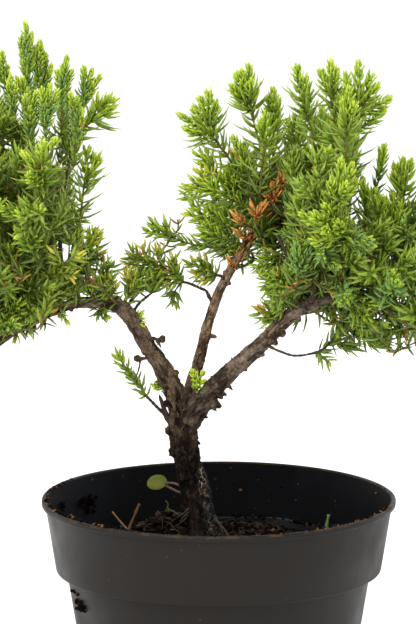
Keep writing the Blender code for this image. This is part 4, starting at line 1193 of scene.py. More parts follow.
def fibre_line(soil, rng, number):
    """A root fibre that wanders over the compost, in metres."""
    x, y = random_spot(rng, STREWN_REACH)
    heading = rng.uniform(0, math.tau)
    line = []
    for step in range(FIBRE_STEPS):
        lift = 0.5 + 1.6 * abs(math.sin(step * 0.8 + number)) * rng.uniform(0.4, 1)
        line.append(on_soil(soil, x, y, lift))
        heading += rng.normal(0, 0.35)
        x += 1.5 * math.cos(heading)
        y += 1.5 * math.sin(heading)
        if math.hypot(x, y) > FIBRE_REACH:
            break
    return np.array(line)


def root_fibres(soil, rng):
    """Root fibres and the twigs that lie on the compost."""
    fibres = Heap()
    for number in range(FIBRE_COUNT):
        line = fibre_line(soil, rng, number)
        if len(line) < SHORTEST_FIBRE:
            continue
        radii = np.linspace(0.32, 0.12, len(line)) * MM * rng.uniform(0.6, 1.5)
        fibres.add(*tube_arrays(line, radii, 5), int(rng.choice(3)))
    for points_mm, thick, thin, tone in SOIL_TWIGS:
        line = smooth_line(points_mm, 1.0) * MM
        bumps = uneven(line, 0.5, (points_mm[0][0], 1.3))
        fibres.add(*tube_arrays(line, np.linspace(thick, thin, len(line)) * (1 + 0.5 * bumps) * MM, 7), tone)
    tints = [(0.014, 0.008, 0.005), (0.040, 0.023, 0.014), (0.025, 0.014, 0.010), (0.20, 0.11, 0.055),
             (0.11, 0.19, 0.040), (0.10, 0.050, 0.024), (0.070, 0.062, 0.026)]
    return fibres.make("root_fibres", plain_materials("fibre", tints, 0.85, 0.15))


def seedling_leaf():
    """A round seedling leaf beside the trunk."""
    bm = bmesh.new()
    bmesh.ops.create_icosphere(bm, subdivisions=3, radius=1.0)
    bmesh.ops.scale(bm, verts=bm.verts[:], vec=SEEDLING_LEAF_SIZE)
    turn = Matrix.Rotation(math.radians(-14), 4, "Y") @ Matrix.Rotation(math.radians(-20), 4, "X")
    bmesh.ops.transform(bm, matrix=Matrix.Translation(SEEDLING_LEAF_PLACE) @ turn, verts=bm.verts[:])
    tone = mottled_material("seedling_leaf", (0.10, 0.12, 0.022), (0.20, 0.21, 0.035), 260.0, 0.5)
    return object_from_bmesh("seedling_leaf", bm, [tone])


def seedling_stalks():
    """The two stalks of the seedling."""
    stalks = Heap()
    for points_mm in SEEDLING_STALKS:
        line = smooth_line(points_mm, 1.0) * MM
        stalks.add(*tube_arrays(line, np.linspace(0.5, 0.42, len(line)) * MM, 7), 0)
    tone = mottled_material("seedling_stalk", (0.05, 0.030, 0.022), (0.24, 0.15, 0.115), 900.0)
    return stalks.make("seedling_stalks", [tone])


class JUNIPER_OT_build_litter(bpy.types.Operator):
    """Scatter crumbs, bark chips, grit and fibres on the compost, with a seedling beside the trunk"""

    bl_idname = "juniper.build_litter"
    bl_label = "Build Litter"

    def execute(self, context):
        soil = context.scene.juniper_soil
        rng = np.random.default_rng(soil.seed)
        for build in (compost_crumbs, bark_chips, grit_grains, root_fibres):
            keep_piece(build(soil, rng))
        keep_piece(seedling_leaf())
        keep_piece(seedling_stalks())
        return {"FINISHED"}


# ---------------- trunk and boughs

# How far the bark of one limb blends into that of the next, in metres
BARK_BLEND = 0.0012
# Points whose limb is looked up at once
BLOCK = 8000
# How deep flakes sit in the bark and how far strips stand off it, in metres
FLAKE_SINK = 0.0002
PEEL_LIFT = 0.0001


def limb_line(name, step=1.2):
    """Points and radii along a limb, in metres."""
    rows = smooth_line(LIMBS[name], step)
    return rows[:, :3] * MM, rows[:, 3] * MM


def add_tube(bm, points, radii, sides):
    """A closed round tube along a line, bridged from ring to ring."""
    ways, across, over = line_frames(points)
    before = None
    for index, (place, way) in enumerate(zip(points, ways)):
        turn = Matrix((across[index], over[index], way)).transposed().to_4x4()
        ends = index in (0, len(points) - 1)
        ring = bmesh.ops.create_circle(bm, cap_ends=ends, segments=sides, radius=float(radii[index]),
                                       matrix=Matrix.Translation(place) @ turn)["verts"]
        edges = sorted({edge for vert in ring for edge in vert.link_edges}, key=lambda edge: edge.index)
        if before:
            bmesh.ops.bridge_loops(bm, edges=before + edges)
        before = edges


def side_way(way, degrees):
    """A direction square to a limb: 0 degrees is its right side, 90 its front."""
    right = unit(np.cross((0.0, 1.0, 0.0), way))
    front = unit(np.cross(right, way))
    angle = math.radians(degrees)
    return right * math.cos(angle) + front * math.sin(angle)


def fractal(place, octaves=3):
    """Fractal noise at a point."""
    return noise.fractal(place, 0.9, 2.1, octaves)


def limb_marks():
    """Every sample on the limbs: place, radius, distance along and both sides, for reading coordinates."""
    marks = {"place": [], "radius": [], "along": [], "across": [], "over": []}
    starts = [0]
    for index, name in enumerate(LIMBS):
        points, radii = limb_line(name, 0.8)
        _, across, over = line_frames(points)
        along = distances(points) + 0.37 * index
        for key, block in (("place", points), ("radius", radii), ("along", along), ("across", across),
                           ("over", over)):
            marks[key].append(block)
        starts.append(starts[-1] + len(points))
    return {key: np.concatenate(blocks) for key, blocks in marks.items()}, starts[:-1]


def bark_run(places):
    """Each point's coordinates along and across its limb, the limb's radius there and its kind of bark."""
    marks, starts = limb_marks()
    kinds = np.array([BARK_KINDS[name] for name in LIMBS])
    run = np.zeros((len(places), 3))
    girth = np.zeros(len(places))
    kind = np.zeros((len(places), 3))
    for start in range(0, len(places), BLOCK):
        rows = slice(start, start + BLOCK)
        part = places[rows]
        offsets = part[:, None] - marks["place"][None]
        depths = np.linalg.norm(offsets, axis=2) - marks["radius"][None]
        nearest = np.argmin(depths, axis=1)
        offset = offsets[np.arange(len(part)), nearest]
        run[rows, 0] = marks["along"][nearest]
        run[rows, 1] = np.sum(offset * marks["across"][nearest], axis=1)
        run[rows, 2] = np.sum(offset * marks["over"][nearest], axis=1)
        girth[rows] = marks["radius"][nearest]
        shallow = np.minimum.reduceat(depths, starts, axis=1)
        pull = np.exp(-(shallow - shallow.min(axis=1)[:, None]) / BARK_BLEND)
        kind[rows] = pull @ kinds / pull.sum(axis=1)[:, None]
    return run, girth, kind


def merged_limbs(voxel):
    """All limbs, roots and stubs merged into one mesh of even cells."""
    bm = bmesh.new()
    for name in LIMBS:
        points, radii = limb_line(name)
        add_tube(bm, points, radii, 14)
    for name, tip_mm, radius in STUBS:
        points, _ = limb_line(name)
        tip = np.array(tip_mm) * MM
        root = points[np.argmin(np.linalg.norm(points - tip, axis=1))]
        line = np.array([root + (tip - root) * share for share in (0.2, 0.55, 0.85, 1.0)])
        add_tube(bm, line, np.array((1.7, 1.5, 1.1, 0.7)) * radius * MM, 10)
    limbs = object_from_bmesh("limbs", bm, [])
    merge = limbs.modifiers.new("Merge", "REMESH")
    merge.mode = "VOXEL"
    merge.voxel_size = voxel
    apply_modifiers(limbs)
    return limbs


def vertex_rows(mesh, key):
    """A vector of every point of a mesh, as rows."""
    values = np.zeros(len(mesh.vertices) * 3)
    mesh.vertices.foreach_get(key, values)
    return values.reshape(-1, 3)


def carve_bark(mesh, relief):
    """Raise lumps, plates and rings of bark, and keep their coordinates for the material."""
    places = vertex_rows(mesh, "co")
    normals = vertex_rows(mesh, "normal")
    run, girth, kind = bark_run(places)
    heights = np.zeros(len(places))
    for index, (along, across, over) in enumerate(run):
        _, smooth, mossy = kind[index]
        near, centres = noise.voronoi((along * 330, across * 620, over * 620))
        plate = min(1.0, 2.4 * (near[1] - near[0])) * (0.75 + 0.5 * noise.noise(centres[0] * 5))
        lumps = fractal((along * 150 + 9, across * 210, over * 210))
        grain = fractal((along * 620 + 3, across * 1100, over * 1100), 2)
        rings = noise.noise((along * 900, across * 110, over * 110))
        heights[index] = (0.50 * (1 - 0.6 * smooth) * plate + (0.85 - 0.3 * smooth) * lumps + 0.30 * grain
                          + 0.16 * smooth * rings + mossy * (0.6 * grain + 0.9 * lumps))
    depth = relief * np.clip(girth / 0.0045, 0.28, 1.15) ** 1.1
    moved = places + normals * (depth * (heights - 0.30))[:, None]
    mesh.vertices.foreach_set("co", moved.ravel())
    # The relief from furrow to ridge, which the bark material turns into painted shade in the furrows and
    # lighter ridges
    spread = np.clip((heights + 0.35) / 1.4, 0, 1)
    mesh.attributes.new("bark_run", "FLOAT_VECTOR", "POINT").data.foreach_set("vector", run.ravel())
    mesh.attributes.new("bark_kind", "FLOAT_VECTOR", "POINT").data.foreach_set("vector", kind.ravel())
    mesh.attributes.new("bark_relief", "FLOAT", "POINT").data.foreach_set("value", spread)
    mesh.update()


def flake_template():
    """A strip of peeling bark of unit length, bowed and pointed at both ends."""
    bm = bmesh.new()
    bmesh.ops.create_grid(bm, x_segments=6, y_segments=1, size=0.5)
    for vert in bm.verts:
        share = vert.co.x + 0.5
        vert.co.y *= 0.15 * math.sin(math.pi * min(0.96, share + 0.08)) + 0.03
        vert.co.z = 0.16 * share ** 2 - 0.6 * vert.co.y ** 2
    bmesh.ops.recalc_face_normals(bm, faces=bm.faces[:])
    bmesh.ops.solidify(bm, geom=bm.faces[:], thickness=0.03)
    return template_arrays(bm)


def snag_template():
    """The broken foot of a fine twig, of unit length along X."""
    bm = bmesh.new()
    bmesh.ops.create_cone(bm, cap_ends=True, segments=5, radius1=0.36, radius2=0.16, depth=1.0,
                          matrix=Matrix.Rotation(math.pi / 2, 4, "Y") @ Matrix.Translation((0, 0, 0.4)))
    for vert in bm.verts:
        vert.co += Vector((vert.co.y * 0.6, 0, 0.12 * vert.co.x))
    return template_arrays(bm)


def lying(way, out):
    """The turn that lays a shape along one direction with its back towards another."""
    side = unit(np.cross(out, way))
    return np.array((way, side, np.cross(way, side)))


def add_flakes(flakes, strip, snag, rng):
    """Small flakes and the broken feet of twigs, all over the limbs."""
    for name, (count, last) in FLAKES.items():
        line, radii = limb_line(name)
        ways = line_ways(line)
        for flake in range(count):
            index = int(rng.uniform(0.02, last) * (len(line) - 1))
            out = side_way(ways[index], rng.uniform(0, 360))
            way = ways[index] * rng.choice((-1, 1))
            if flake % 3:
                points, faces = snag
                size = rng.uniform(0.25, 0.8) * (0.7 + 90 * radii[index])
                way, out = unit(out + way * rng.uniform(0, 0.6)), way
                lift = way
            else:
                points, faces = strip
                size = rng.uniform(1.3, 3.2) * (0.6 + 100 * radii[index])
                lift = out
            shape = points * np.array((1, rng.uniform(0.6, 1.3), rng.uniform(0.4, 1.2))) * size * MM
            tone = 3 if line[index][2] < SHADED_FOOT_BELOW else int(rng.choice(3, p=(0.4, 0.4, 0.2)))
            placed = shape @ lying(way, out) + line[index] + lift * (radii[index] - FLAKE_SINK)
            flakes.add(placed, faces, tone)


def add_peels(flakes, strip):
    """Long strips that peel off the bark, each in its own place."""
    points, faces = strip
    for name, share, degrees, length, breadth, tone in PEELS:
        line, radii = limb_line(name)
        index = round(share * (len(line) - 1))
        way = line_ways(line)[index]
        out = side_way(way, degrees)
        turn = np.array((way, np.cross(out, way), out))
        shape = points * np.array((length, length * 0.5, length * 0.55)) * MM
        shape[:, 1] *= breadth / (length * 0.09)
        flakes.add(shape @ turn + line[index] + out * (radii[index] + PEEL_LIFT), faces, tone)


def add_frays(flakes, strip, rng):
    """Patches of short frayed fibre."""
    points, faces = strip
    for name, first, last, low_turn, high_turn, count, tone in FRAYS:
        line, radii = limb_line(name)
        ways = line_ways(line)
        for _ in range(count):
            index = round(rng.uniform(first, last) * (len(line) - 1))
            out = side_way(ways[index], rng.uniform(low_turn, high_turn))
            way = unit(ways[index] * rng.choice((-1, 1)) + 0.5 * rng.normal(0, 1, 3))
            shape = points * np.array((1, rng.uniform(0.8, 2.0), 1.4)) * rng.uniform(0.8, 2.0) * MM
            flakes.add(shape @ lying(way, out) + line[index] + out * (radii[index] + PEEL_LIFT), faces, tone)


class JUNIPER_OT_build_wood(bpy.types.Operator):
    """Build the trunk, its roots and the boughs with their bark"""

    bl_idname = "juniper.build_wood"
    bl_label = "Build Wood"

    def execute(self, context):
        wood = context.scene.juniper_wood
        limbs = merged_limbs(wood.voxel)
        limbs.name = "trunk_and_boughs"
        carve_bark(limbs.data, wood.relief)
        limbs.data.materials.clear()
        limbs.data.materials.append(bark_material(wood))
        limbs.data.shade_smooth()
        keep_piece(limbs, ["trunk"] + [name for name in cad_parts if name.startswith("bough_")])

        rng = np.random.default_rng(wood.seed)
        flakes = Heap()
        strip = flake_template()
        add_flakes(flakes, strip, snag_template(), rng)
        add_peels(flakes, strip)
        add_frays(flakes, strip, rng)
        # The fourth tint, near black, is painted shade on flakes at the trunk's foot
        tints = [wood.dark, toned(wood.middle, 0.6), toned(wood.light, 0.75), toned(wood.dark, 0.3),
                 (0.26, 0.17, 0.10), (0.42, 0.35, 0.25)]
        materials = [mottled_material(f"flake_{index}", toned(tint, 0.5), tint, 900.0)
                     for index, tint in enumerate(tints)]
        keep_piece(flakes.make("bark_flakes", materials))
        return {"FINISHED"}


# ---------------- shoots and needles

# Heart of each half of the crown in millimetres: shoots lean away from it
HEARTS = {"left": (-70.0, -8.0, 192.0), "middle": (-6.0, 12.0, 190.0), "right": (35.0, 0.0, 186.0)}
# Needles at least this long, in metres, are of the long kind
LONG_NEEDLE = 4.6 * MM
# Share of each limb from which twigs may grow
LEAFY_FROM = {"left": 0.40, "middle": 0.62, "right": 0.40}
# Each shoot takes the cheapest twig. It costs its own length, and more for the way on to the trunk, for
# starting ahead of the shoot, for running back along the wood and for crossing open places.
PATH_COST = 0.22
AHEAD_COST = 2.0
BACK_COST = 0.8
CROSSING_COST = 0.030
# Below this height, in metres, shoots hang from a foot that lies higher than their tips
SKIRT = 0.188
# Share of the needles near a shoot's foot that have died
DEAD_SHARE = 0.005
# Shoots nearer than this to a limb rest on it, and twigs shorter than this are left out
RESTING_GAP = 2.5 * MM
SHORTEST_TWIG = 0.8 * MM
# Needles stand in whorls, each turned half a step against the one below
WHORL = 3
# Turn from one head of a shoot to the next, in degrees
HEAD_TURN = 137.5
# Points and radii in millimetres of a shoot's stem and of its heads
STEM_POINTS = 8
STEM_RADII = (0.46, 0.36)
HEAD_POINTS = 7
HEAD_RADII = (0.36, 0.22)
# Places tried for shoots on each mass and inside it
OUTER_SAMPLES = 260
INNER_SAMPLES = 700
# How far shoots keep from other masses, and how deep inside one the inner shoots begin
CLEARANCE = 4.0 * MM
INNER_DEPTH = 3.5 * MM
# Deeper than this, in metres, they take dark needles as painted shade
SHADED_DEPTH = 0.011


def needle_template(cuts, blunt):
    """An awl of unit length and width along Z, flat on its +X side, cut into rings at some heights."""
    bm = bmesh.new()
    bmesh.ops.create_cone(bm, cap_ends=True, segments=3, radius1=0.5, radius2=0.0, depth=1.0,
                          matrix=Matrix.Translation((0, 0, 0.5)) @ Matrix.Rotation(math.pi, 4, "Z"))
    for cut in cuts:
        bmesh.ops.bisect_plane(bm, geom=bm.verts[:] + bm.edges[:] + bm.faces[:], plane_co=(0, 0, cut),
                               plane_no=(0, 0, 1))
    for vert in bm.verts:
        height = vert.co.z
        full = max(1e-6, 1 - height)
        swell = (0.62 + 0.62 * min(1.0, height / 0.3)) if height < 0.3 else 1.24 - 0.30 * (height - 0.3)
        wide = swell * min(1.0, blunt * full) / full if height < 1 else 0.0
        vert.co.x *= wide * 0.62
        vert.co.y *= wide
    points, faces = template_arrays(bm)
    middles = points[faces].mean(axis=1)
    sides = np.cross(points[faces[:, 1]] - points[faces[:, 0]], points[faces[:, 2]] - points[faces[:, 0]])
    tones = np.where(sides[:, 0] > 0.6 * np.linalg.norm(sides, axis=1), 1, 0)
    tones = np.where(middles[:, 2] > 0.80, 2, tones)
    return points, faces, tones


class Needles:
    """Needles waiting to be made, kept as columns of numbers."""

    def __init__(self):
        self.rows = []

    def add(self, side, foot, way, face, length, width, bend, hue):
        """Keep a block of needles of one side of the crown."""
        for kind, chosen in (("long", length >= LONG_NEEDLE), ("short", length < LONG_NEEDLE)):
            if chosen.any():
                self.rows.append((side, kind, np.column_stack(
                    (foot, way, face, length, width, bend, hue))[chosen]))

    def blocks(self):
        """Columns of each side and kind."""
        keys = sorted({row[:2] for row in self.rows})
        return {key: np.concatenate([row[2] for row in self.rows if row[:2] == key]) for key in keys}


def along_line(block, along, stations):
    """Rows of a block read at some distances along its line."""
    return np.stack([np.interp(stations, along, block[:, axis]) for axis in range(block.shape[1])], axis=1)


def arc_line(start, end, start_way, end_way, count):
    """A curve that leaves and arrives in given directions."""
    reach = np.linalg.norm(end - start)
    t = np.linspace(0, 1, count)[:, None]
    return hermite(start, start_way * reach, end, end_way * reach, t)


def open_at(places):
    """Which of some points in metres lie where the crown stays open."""
    places = np.atleast_2d(places) / MM
    inside = np.zeros(len(places), bool)
    for low, high in OPEN_PLACES:
        inside |= np.all((places > low) & (places < high), axis=1)
    share = -FRONT_EYE[1] / (places[:, 1] - FRONT_EYE[1])
    across = FRONT_EYE[0] + share * (places[:, 0] - FRONT_EYE[0])
    up = FRONT_EYE[2] + share * (places[:, 2] - FRONT_EYE[2])
    for x, z, wide, high in OPEN_VIEWS:
        inside |= ((across - x) / wide) ** 2 + ((up - z) / high) ** 2 < 1
    return inside


class Garden:
    """What grows: needles, stems and the network of twigs, from one random source."""

    SHARES = np.linspace(0.15, 0.85, 6)[:, None]

    def __init__(self, seed):
        self.rng = np.random.default_rng(seed)
        self.needles = Needles()
        self.stems = Heap()
        self.twigs = Heap()
        self.places = np.zeros((0, 3))
        self.ways = np.zeros((0, 3))
        self.paths = np.zeros(0)
        self.parents = []
        self.loads = []
        self.lines = []

    def add_points(self, line, parent, path):
        """Put the points of a new line on the network and return their numbers."""
        first = len(self.parents)
        numbers = list(range(first, first + len(line)))
        self.places = np.concatenate((self.places, line))
        self.ways = np.concatenate((self.ways, line_ways(line)))
        self.paths = np.concatenate((self.paths, path + distances(line)))
        self.parents += [parent] + numbers[:-1]
        self.loads += [0] * len(line)
        return numbers

    def grow_twig(self, foot, way, load=1):
        """Join a shoot's foot to the network by the handiest twig."""
        gaps = foot - self.places
        far = np.linalg.norm(gaps, axis=1)
        ahead = np.clip(-(gaps @ way), 0, None)
        backward = np.clip(-np.sum(gaps * self.ways, axis=1), 0, None)
        costs = far + PATH_COST * self.paths + AHEAD_COST * ahead + BACK_COST * backward
        likely = np.argsort(costs)[:16]
        crossing = [np.mean(open_at(foot - gaps[spot] * self.SHARES)) for spot in likely]
        root = int(likely[np.argmin(costs[likely] + CROSSING_COST * np.array(crossing))])
        if far[root] > SHORTEST_TWIG:
            leave = unit(self.ways[root] * 0.5 + unit(gaps[root]))
            sag = np.array((0.0, 0.0, -0.06))
            count = max(4, int(far[root] / (3.5 * MM)) + 3)
            line = arc_line(self.places[root], foot, leave + sag, unit(way) * 0.8, count)
            wander = self.rng.normal(0, 0.015 * far[root], line.shape)
            wander[[0, -1]] = 0
            line = line + wander
            numbers = self.add_points(line[1:], root, self.paths[root] + np.linalg.norm(line[1] - line[0]))
            self.lines.append([root] + numbers)
            root = numbers[-1]
        number = root
        while number >= 0 and load:
            self.loads[number] += load
            number = self.parents[number]

    def dress(self, side, line, dress, hues, part=(0.0, 1.0), radius=0.0002, clear=False):
        """Set whorls of three needles along a part of an axis, given as shares of its length."""
        rng = self.rng
        along = distances(line)
        first = along[-1] * part[0]
        reach = along[-1] * (part[1] - part[0])
        stations = []
        at = 0.0
        while at < reach:
            stations.append(at)
            at += np.interp(at / reach, STOPS, dress.gap) * MM * rng.uniform(0.85, 1.15)
        if not stations:
            return
        share = np.repeat(np.array(stations) / reach, WHORL)
        stations = np.array(stations) + first
        ways, across, over = line_frames(line)
        place, way, one, two = (np.repeat(along_line(block, along, stations), WHORL, axis=0)
                                for block in (line, ways, across, over))
        count = len(share)
        whorl = np.repeat(np.arange(len(stations)), WHORL)
        turn = (rng.uniform(0, math.tau) + whorl * math.radians(180 / WHORL)
                + np.tile(np.arange(WHORL), len(stations)) * math.radians(360 / WHORL)
                + rng.normal(0, 0.18, count))
        out = one * np.cos(turn)[:, None] + two * np.sin(turn)[:, None]
        out /= np.linalg.norm(out, axis=1)[:, None]
        closing = np.clip((share - 0.90) / 0.10, 0, 1) * (part[1] == 1)
        opening = np.radians(np.interp(share, STOPS, dress.opening) * (1 - 0.45 * closing)
                             + rng.normal(0, 6, count))
        length = np.interp(share, STOPS, dress.needle) * MM * (1 - 0.15 * closing)
        length *= 1 + rng.normal(0, 0.11, count)
        needle_way = way * np.cos(opening)[:, None] + out * np.sin(opening)[:, None]
        face = way * np.sin(opening)[:, None] - out * np.cos(opening)[:, None]
        width = dress.width * MM * rng.uniform(0.85, 1.1, count) * np.clip(length / (4.5 * MM), 0.8, 1.0)
        spot = share * (len(hues) - 1) + rng.normal(0, 0.5, count)
        numbers = np.array([HUE_NAMES.index(name) for name in hues])
        hue = numbers[np.clip(np.round(spot), 0, len(hues) - 1).astype(int)]
        gone = rng.uniform(0, 1, count) < DEAD_SHARE * (share < 0.25)
        hue = np.where(gone, HUE_NAMES.index("brown"), hue)
        bend = dress.bend * rng.normal(1.0, 0.25, count) * np.clip(length / (6 * MM), 0.6, 1.2)
        foot = place + out * radius
        kept = np.ones(count, bool) if clear else ~open_at(foot + needle_way * (0.6 * length)[:, None])
        if kept.any():
            columns = (foot, needle_way, face, length, width, bend, hue)
            self.needles.add(side, *(column[kept] for column in columns))

    def grow_leader(self, side, stem, tips, kind_name, clear=False):
        """A leading shoot: a stem in long needles that parts into heads, each drawn up to its own tip."""
        kind = KINDS[kind_name]
        below, above = DRESSES[kind.stem], DRESSES[kind.head]
        hues, head_hues = kind.hues.split(), kind.head_hues.split()
        tint = 2 if kind_name == "withered" else 0
        self.dress(side, stem, below, hues, clear=clear)
        self.stems.add(*tube_arrays(stem, np.linspace(*STEM_RADII, len(stem)) * MM, 6), tint or 1)
        ways = line_ways(stem)
        for tip in tips:
            gaps = tip - stem
            far = np.linalg.norm(gaps, axis=1) + 1e-9
            facing = np.sum(gaps * ways, axis=1) / far
            root = int(np.argmin(abs(far - kind.length * MM) + 0.010 * (1 - facing)))
            aim = gaps[root] / far[root]
            if clear:
                tip = tip - aim * min(0.7 * above.needle[2] * MM, 0.5 * far[root])
            leave = unit(ways[root] * 0.35 + aim)
            arrive = unit(aim + UP * 0.3 * self.rng.uniform(0.4, 1.0))
            if kind_name in STRAIGHT_KINDS:
                arrive = aim
            head = arc_line(stem[root], tip, leave, arrive, HEAD_POINTS)
            bare = max(0.08, 1 - kind.crest * MM * self.rng.uniform(0.85, 1.15) / distances(head)[-1])
            self.dress(side, head, above, head_hues, part=(bare, 1.0), clear=clear)
            if bare > 0.15:
                self.dress(side, head, below, hues[-2:], part=(0.08, bare), clear=clear)
            self.stems.add(*tube_arrays(head, np.linspace(*HEAD_RADII, HEAD_POINTS) * MM, 5), tint)

    def auto_leader(self, side, tip, way, kind_name, length):
        """A leading shoot by rule, from its tip back along its way."""
        rng = self.rng
        kind = KINDS[kind_name]
        head = kind.length * MM * rng.uniform(0.85, 1.15)
        foot = tip - way * length
        low = tip[2] < SKIRT
        if low:
            foot[2] = max(foot[2], tip[2] + 0.20 * length)
        drop = UP * (0.0 if low else 0.28)
        stem = arc_line(foot, tip - way * head * 0.8, unit(way - drop + rng.normal(0, 0.10, 3)),
                        unit(way + rng.normal(0, 0.08, 3)), STEM_POINTS)
        if np.mean(open_at(stem)) > 0.3:
            return
        first = rng.uniform(0, math.tau)
        _, across, over = line_frames(stem)
        tips = [tip]
        for index in range(int(rng.integers(kind.heads[0], kind.heads[1] + 1)) - 1):
            turn = first + index * math.radians(HEAD_TURN)
            out = across[-1] * math.cos(turn) + over[-1] * math.sin(turn)
            drawn = rng.uniform(0.05, 0.45) * head + index * 0.1 * head
            tips.append(tip - way * drawn + out * kind.spread * MM * rng.uniform(0.7, 1.25))
        self.grow_twig(foot, way)
        self.grow_leader(side, stem, [spot for spot in tips if not open_at(spot)[0]], kind_name)


def mass_surfaces():
    """The masses' surfaces for asking what lies near or inside them."""
    surfaces = {}
    for name in sorted(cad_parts):
        if name.startswith("foliage_"):
            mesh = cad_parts[name].data
            places = [vert.co.copy() for vert in mesh.vertices]
            surfaces[name] = BVHTree.FromPolygons(places, [list(face.vertices) for face in mesh.polygons])
    return surfaces


def surface_samples(mesh, count, rng):
    """Random points on a mesh, evenly by area."""
    mesh.calc_loop_triangles()
    places = np.array([vert.co[:] for vert in mesh.vertices])
    corners = np.array([triangle.vertices[:] for triangle in mesh.loop_triangles])
    first, second, third = (places[corners[:, corner]] for corner in range(3))
    areas = np.linalg.norm(np.cross(second - first, third - first), axis=1)
    chosen = rng.choice(len(areas), count, p=areas / areas.sum())
    one = np.sqrt(rng.uniform(0, 1, count))[:, None]
    two = rng.uniform(0, 1, count)[:, None]
    return first[chosen] * (1 - one) + second[chosen] * one * (1 - two) + third[chosen] * one * two


def depth_inside(surface, place):
    """How far a point lies inside a mass, in metres; negative outside."""
    near, normal, _, far = surface.find_nearest(Vector(place))
    return far if (Vector(place) - near).dot(normal) < 0 else -far


def side_of(name):
    """Which part of the crown a mass belongs to."""
    return name.split("_")[1]


def heart_of(name):
    """Heart of the half of the crown that a mass belongs to, in metres."""
    return np.array(HEARTS[side_of(name)]) * MM


def outer_tips(settings, surfaces, rng, taken):
    """Shoot tips over the outside of the crown: (mass, place, way out)."""
    candidates = []
    for name in surfaces:
        if side_of(name) == "middle":
            continue
        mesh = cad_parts[name].data
        corners = np.unique(np.round([vert.co[:] for vert in mesh.vertices], 6), axis=0)
        middle = corners.mean(axis=0)
        spread = np.linalg.norm(corners - middle, axis=1).mean()
        spots = np.concatenate((corners, surface_samples(mesh, OUTER_SAMPLES, rng)))
        for spot in spots[~open_at(spots)]:
            candidates.append((-np.linalg.norm(spot - middle) / spread, name, spot))
    candidates.sort(key=lambda row: row[0])
    tips = []
    kept = list(taken)
    for _, name, spot in candidates:
        spacing = settings.spacing * (1.2 if spot[2] > 0.226 else 1.0)
        if np.min(np.linalg.norm(np.array(kept) - spot, axis=1)) < spacing:
            continue
        others = [surface for other, surface in surfaces.items() if other != name]
        if any(depth_inside(surface, spot) > -CLEARANCE for surface in others):
            continue
        normal = np.array(surfaces[name].find_nearest(Vector(spot))[1])
        way = 0.7 * normal + 0.45 * unit(spot - heart_of(name)) + 0.42 * UP + rng.normal(0, 0.13, 3)
        way = unit(way * (1, 1, 1 if way[2] > -0.1 else 0.2))
        kept.append(spot)
        tips.append((name, spot, way))
    return tips


def inner_tips(settings, surfaces, rng):
    """Shoot tips inside the masses, where shorter and shaded shoots stand."""
    tips = []
    kept = np.zeros((0, 3))
    for name, surface in surfaces.items():
        if side_of(name) == "middle":
            continue
        low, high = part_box(name)
        heart = heart_of(name)
        spots = rng.uniform(low, high, (INNER_SAMPLES, 3))
        for spot in spots[~open_at(spots)]:
            if len(kept) and np.min(np.linalg.norm(kept - spot, axis=1)) < settings.inner_spacing:
                continue
            depth = depth_inside(surface, spot)
            if depth < INNER_DEPTH:
                continue
            kept = np.vstack((kept, spot))
            way = unit(spot - heart) + 0.35 * UP + rng.normal(0, 0.3, 3)
            tips.append((name, spot, unit(way * (1, 1, 1 if way[2] > -0.1 else 0.4)), depth))
    return tips


def kind_for(name, tip, rng):
    """How a shoot grows, from where it stands in the crown. The tip is in millimetres."""
    side = side_of(name)
    mix = "right upper" if tip[2] > 212 else "right"
    if side == "middle":
        mix = "middle"
    elif side == "left" and tip[2] > 232:
        mix = "left top"
    elif tip[2] < 186:
        mix = "skirt"
    elif side == "right" and tip[1] < -8 and tip[2] < 240:
        mix = "right front"
    elif side == "left":
        mix = "left low" if tip[2] < 208 else "left"
    draw = rng.uniform()
    return next(kind for limit, kind in MIXES[mix] if draw < limit)


def set_limbs(garden):
    """Boughs inside the foliage and bare twigs; returns the lines and radii that a shoot may rest on."""
    rng = garden.rng
    limbs = [limb_line(name, 2.5) for name in LIMBS]
    for name, first in LEAFY_FROM.items():
        line, _ = limb_line(name, 2.5)
        garden.add_points(line[int(first * len(line)):], -1, 0.0)
    for points_mm, thick, thin in INNER_BOUGHS:
        line = smooth_line(points_mm, 3.0) * MM
        garden.add_points(line, -1, 0.0)
        garden.twigs.add(*tube_arrays(line, np.linspace(thick, thin, len(line)) * MM, 7), 0)
    for points_mm in BARE_TWIGS:
        rows = smooth_line(points_mm, 0.5)
        line = rows[:, :3] * MM
        limbs.append((line, rows[:, 3] * MM))
        bumps = uneven(line, 0.42, (points_mm[0][0], 3.3))
        wander = np.cumsum(rng.normal(0, 0.00005, line.shape), axis=0) * np.linspace(1, 0, len(line))[:, None]
        garden.twigs.add(*tube_arrays(line + wander, rows[:, 3] * (1 + 0.45 * bumps) * MM, 8), 2)
    return limbs


def dress_middle_bough(garden):
    """Withered needles that cloak the thin middle bough."""
    line, _ = limb_line("middle")
    cloaked = line[int(0.60 * len(line)):int(0.97 * len(line))]
    for _ in range(2):
        garden.dress("right", cloaked, DRESSES["cloak"], ("brown", "tan", "brown"), radius=0.0014, clear=True)


def part_at(place):
    """Which part of the crown a place belongs to."""
    if place[0] < -0.038:
        return "left"
    return "middle" if place[0] < -0.003 and place[2] < 0.21 else "right"


def clear_leaders(garden, limbs):
    """The shoots that stand clear; returns the first tip of each."""
    taken = []
    for kind, stem_mm, tips_mm in LEADERS:
        stem = smooth_line(stem_mm, 1.6) * MM
        tips = np.array(tips_mm, float) * MM
        taken += list(tips[:1])
        gaps = [np.min(np.linalg.norm(line - stem[0], axis=1) - radii) for line, radii in limbs]
        if min(gaps) >= RESTING_GAP:
            garden.grow_twig(stem[0], unit(stem[1] - stem[0]))
        garden.grow_leader(part_at(stem[-1]), stem, tips, kind, clear=True)
    return taken


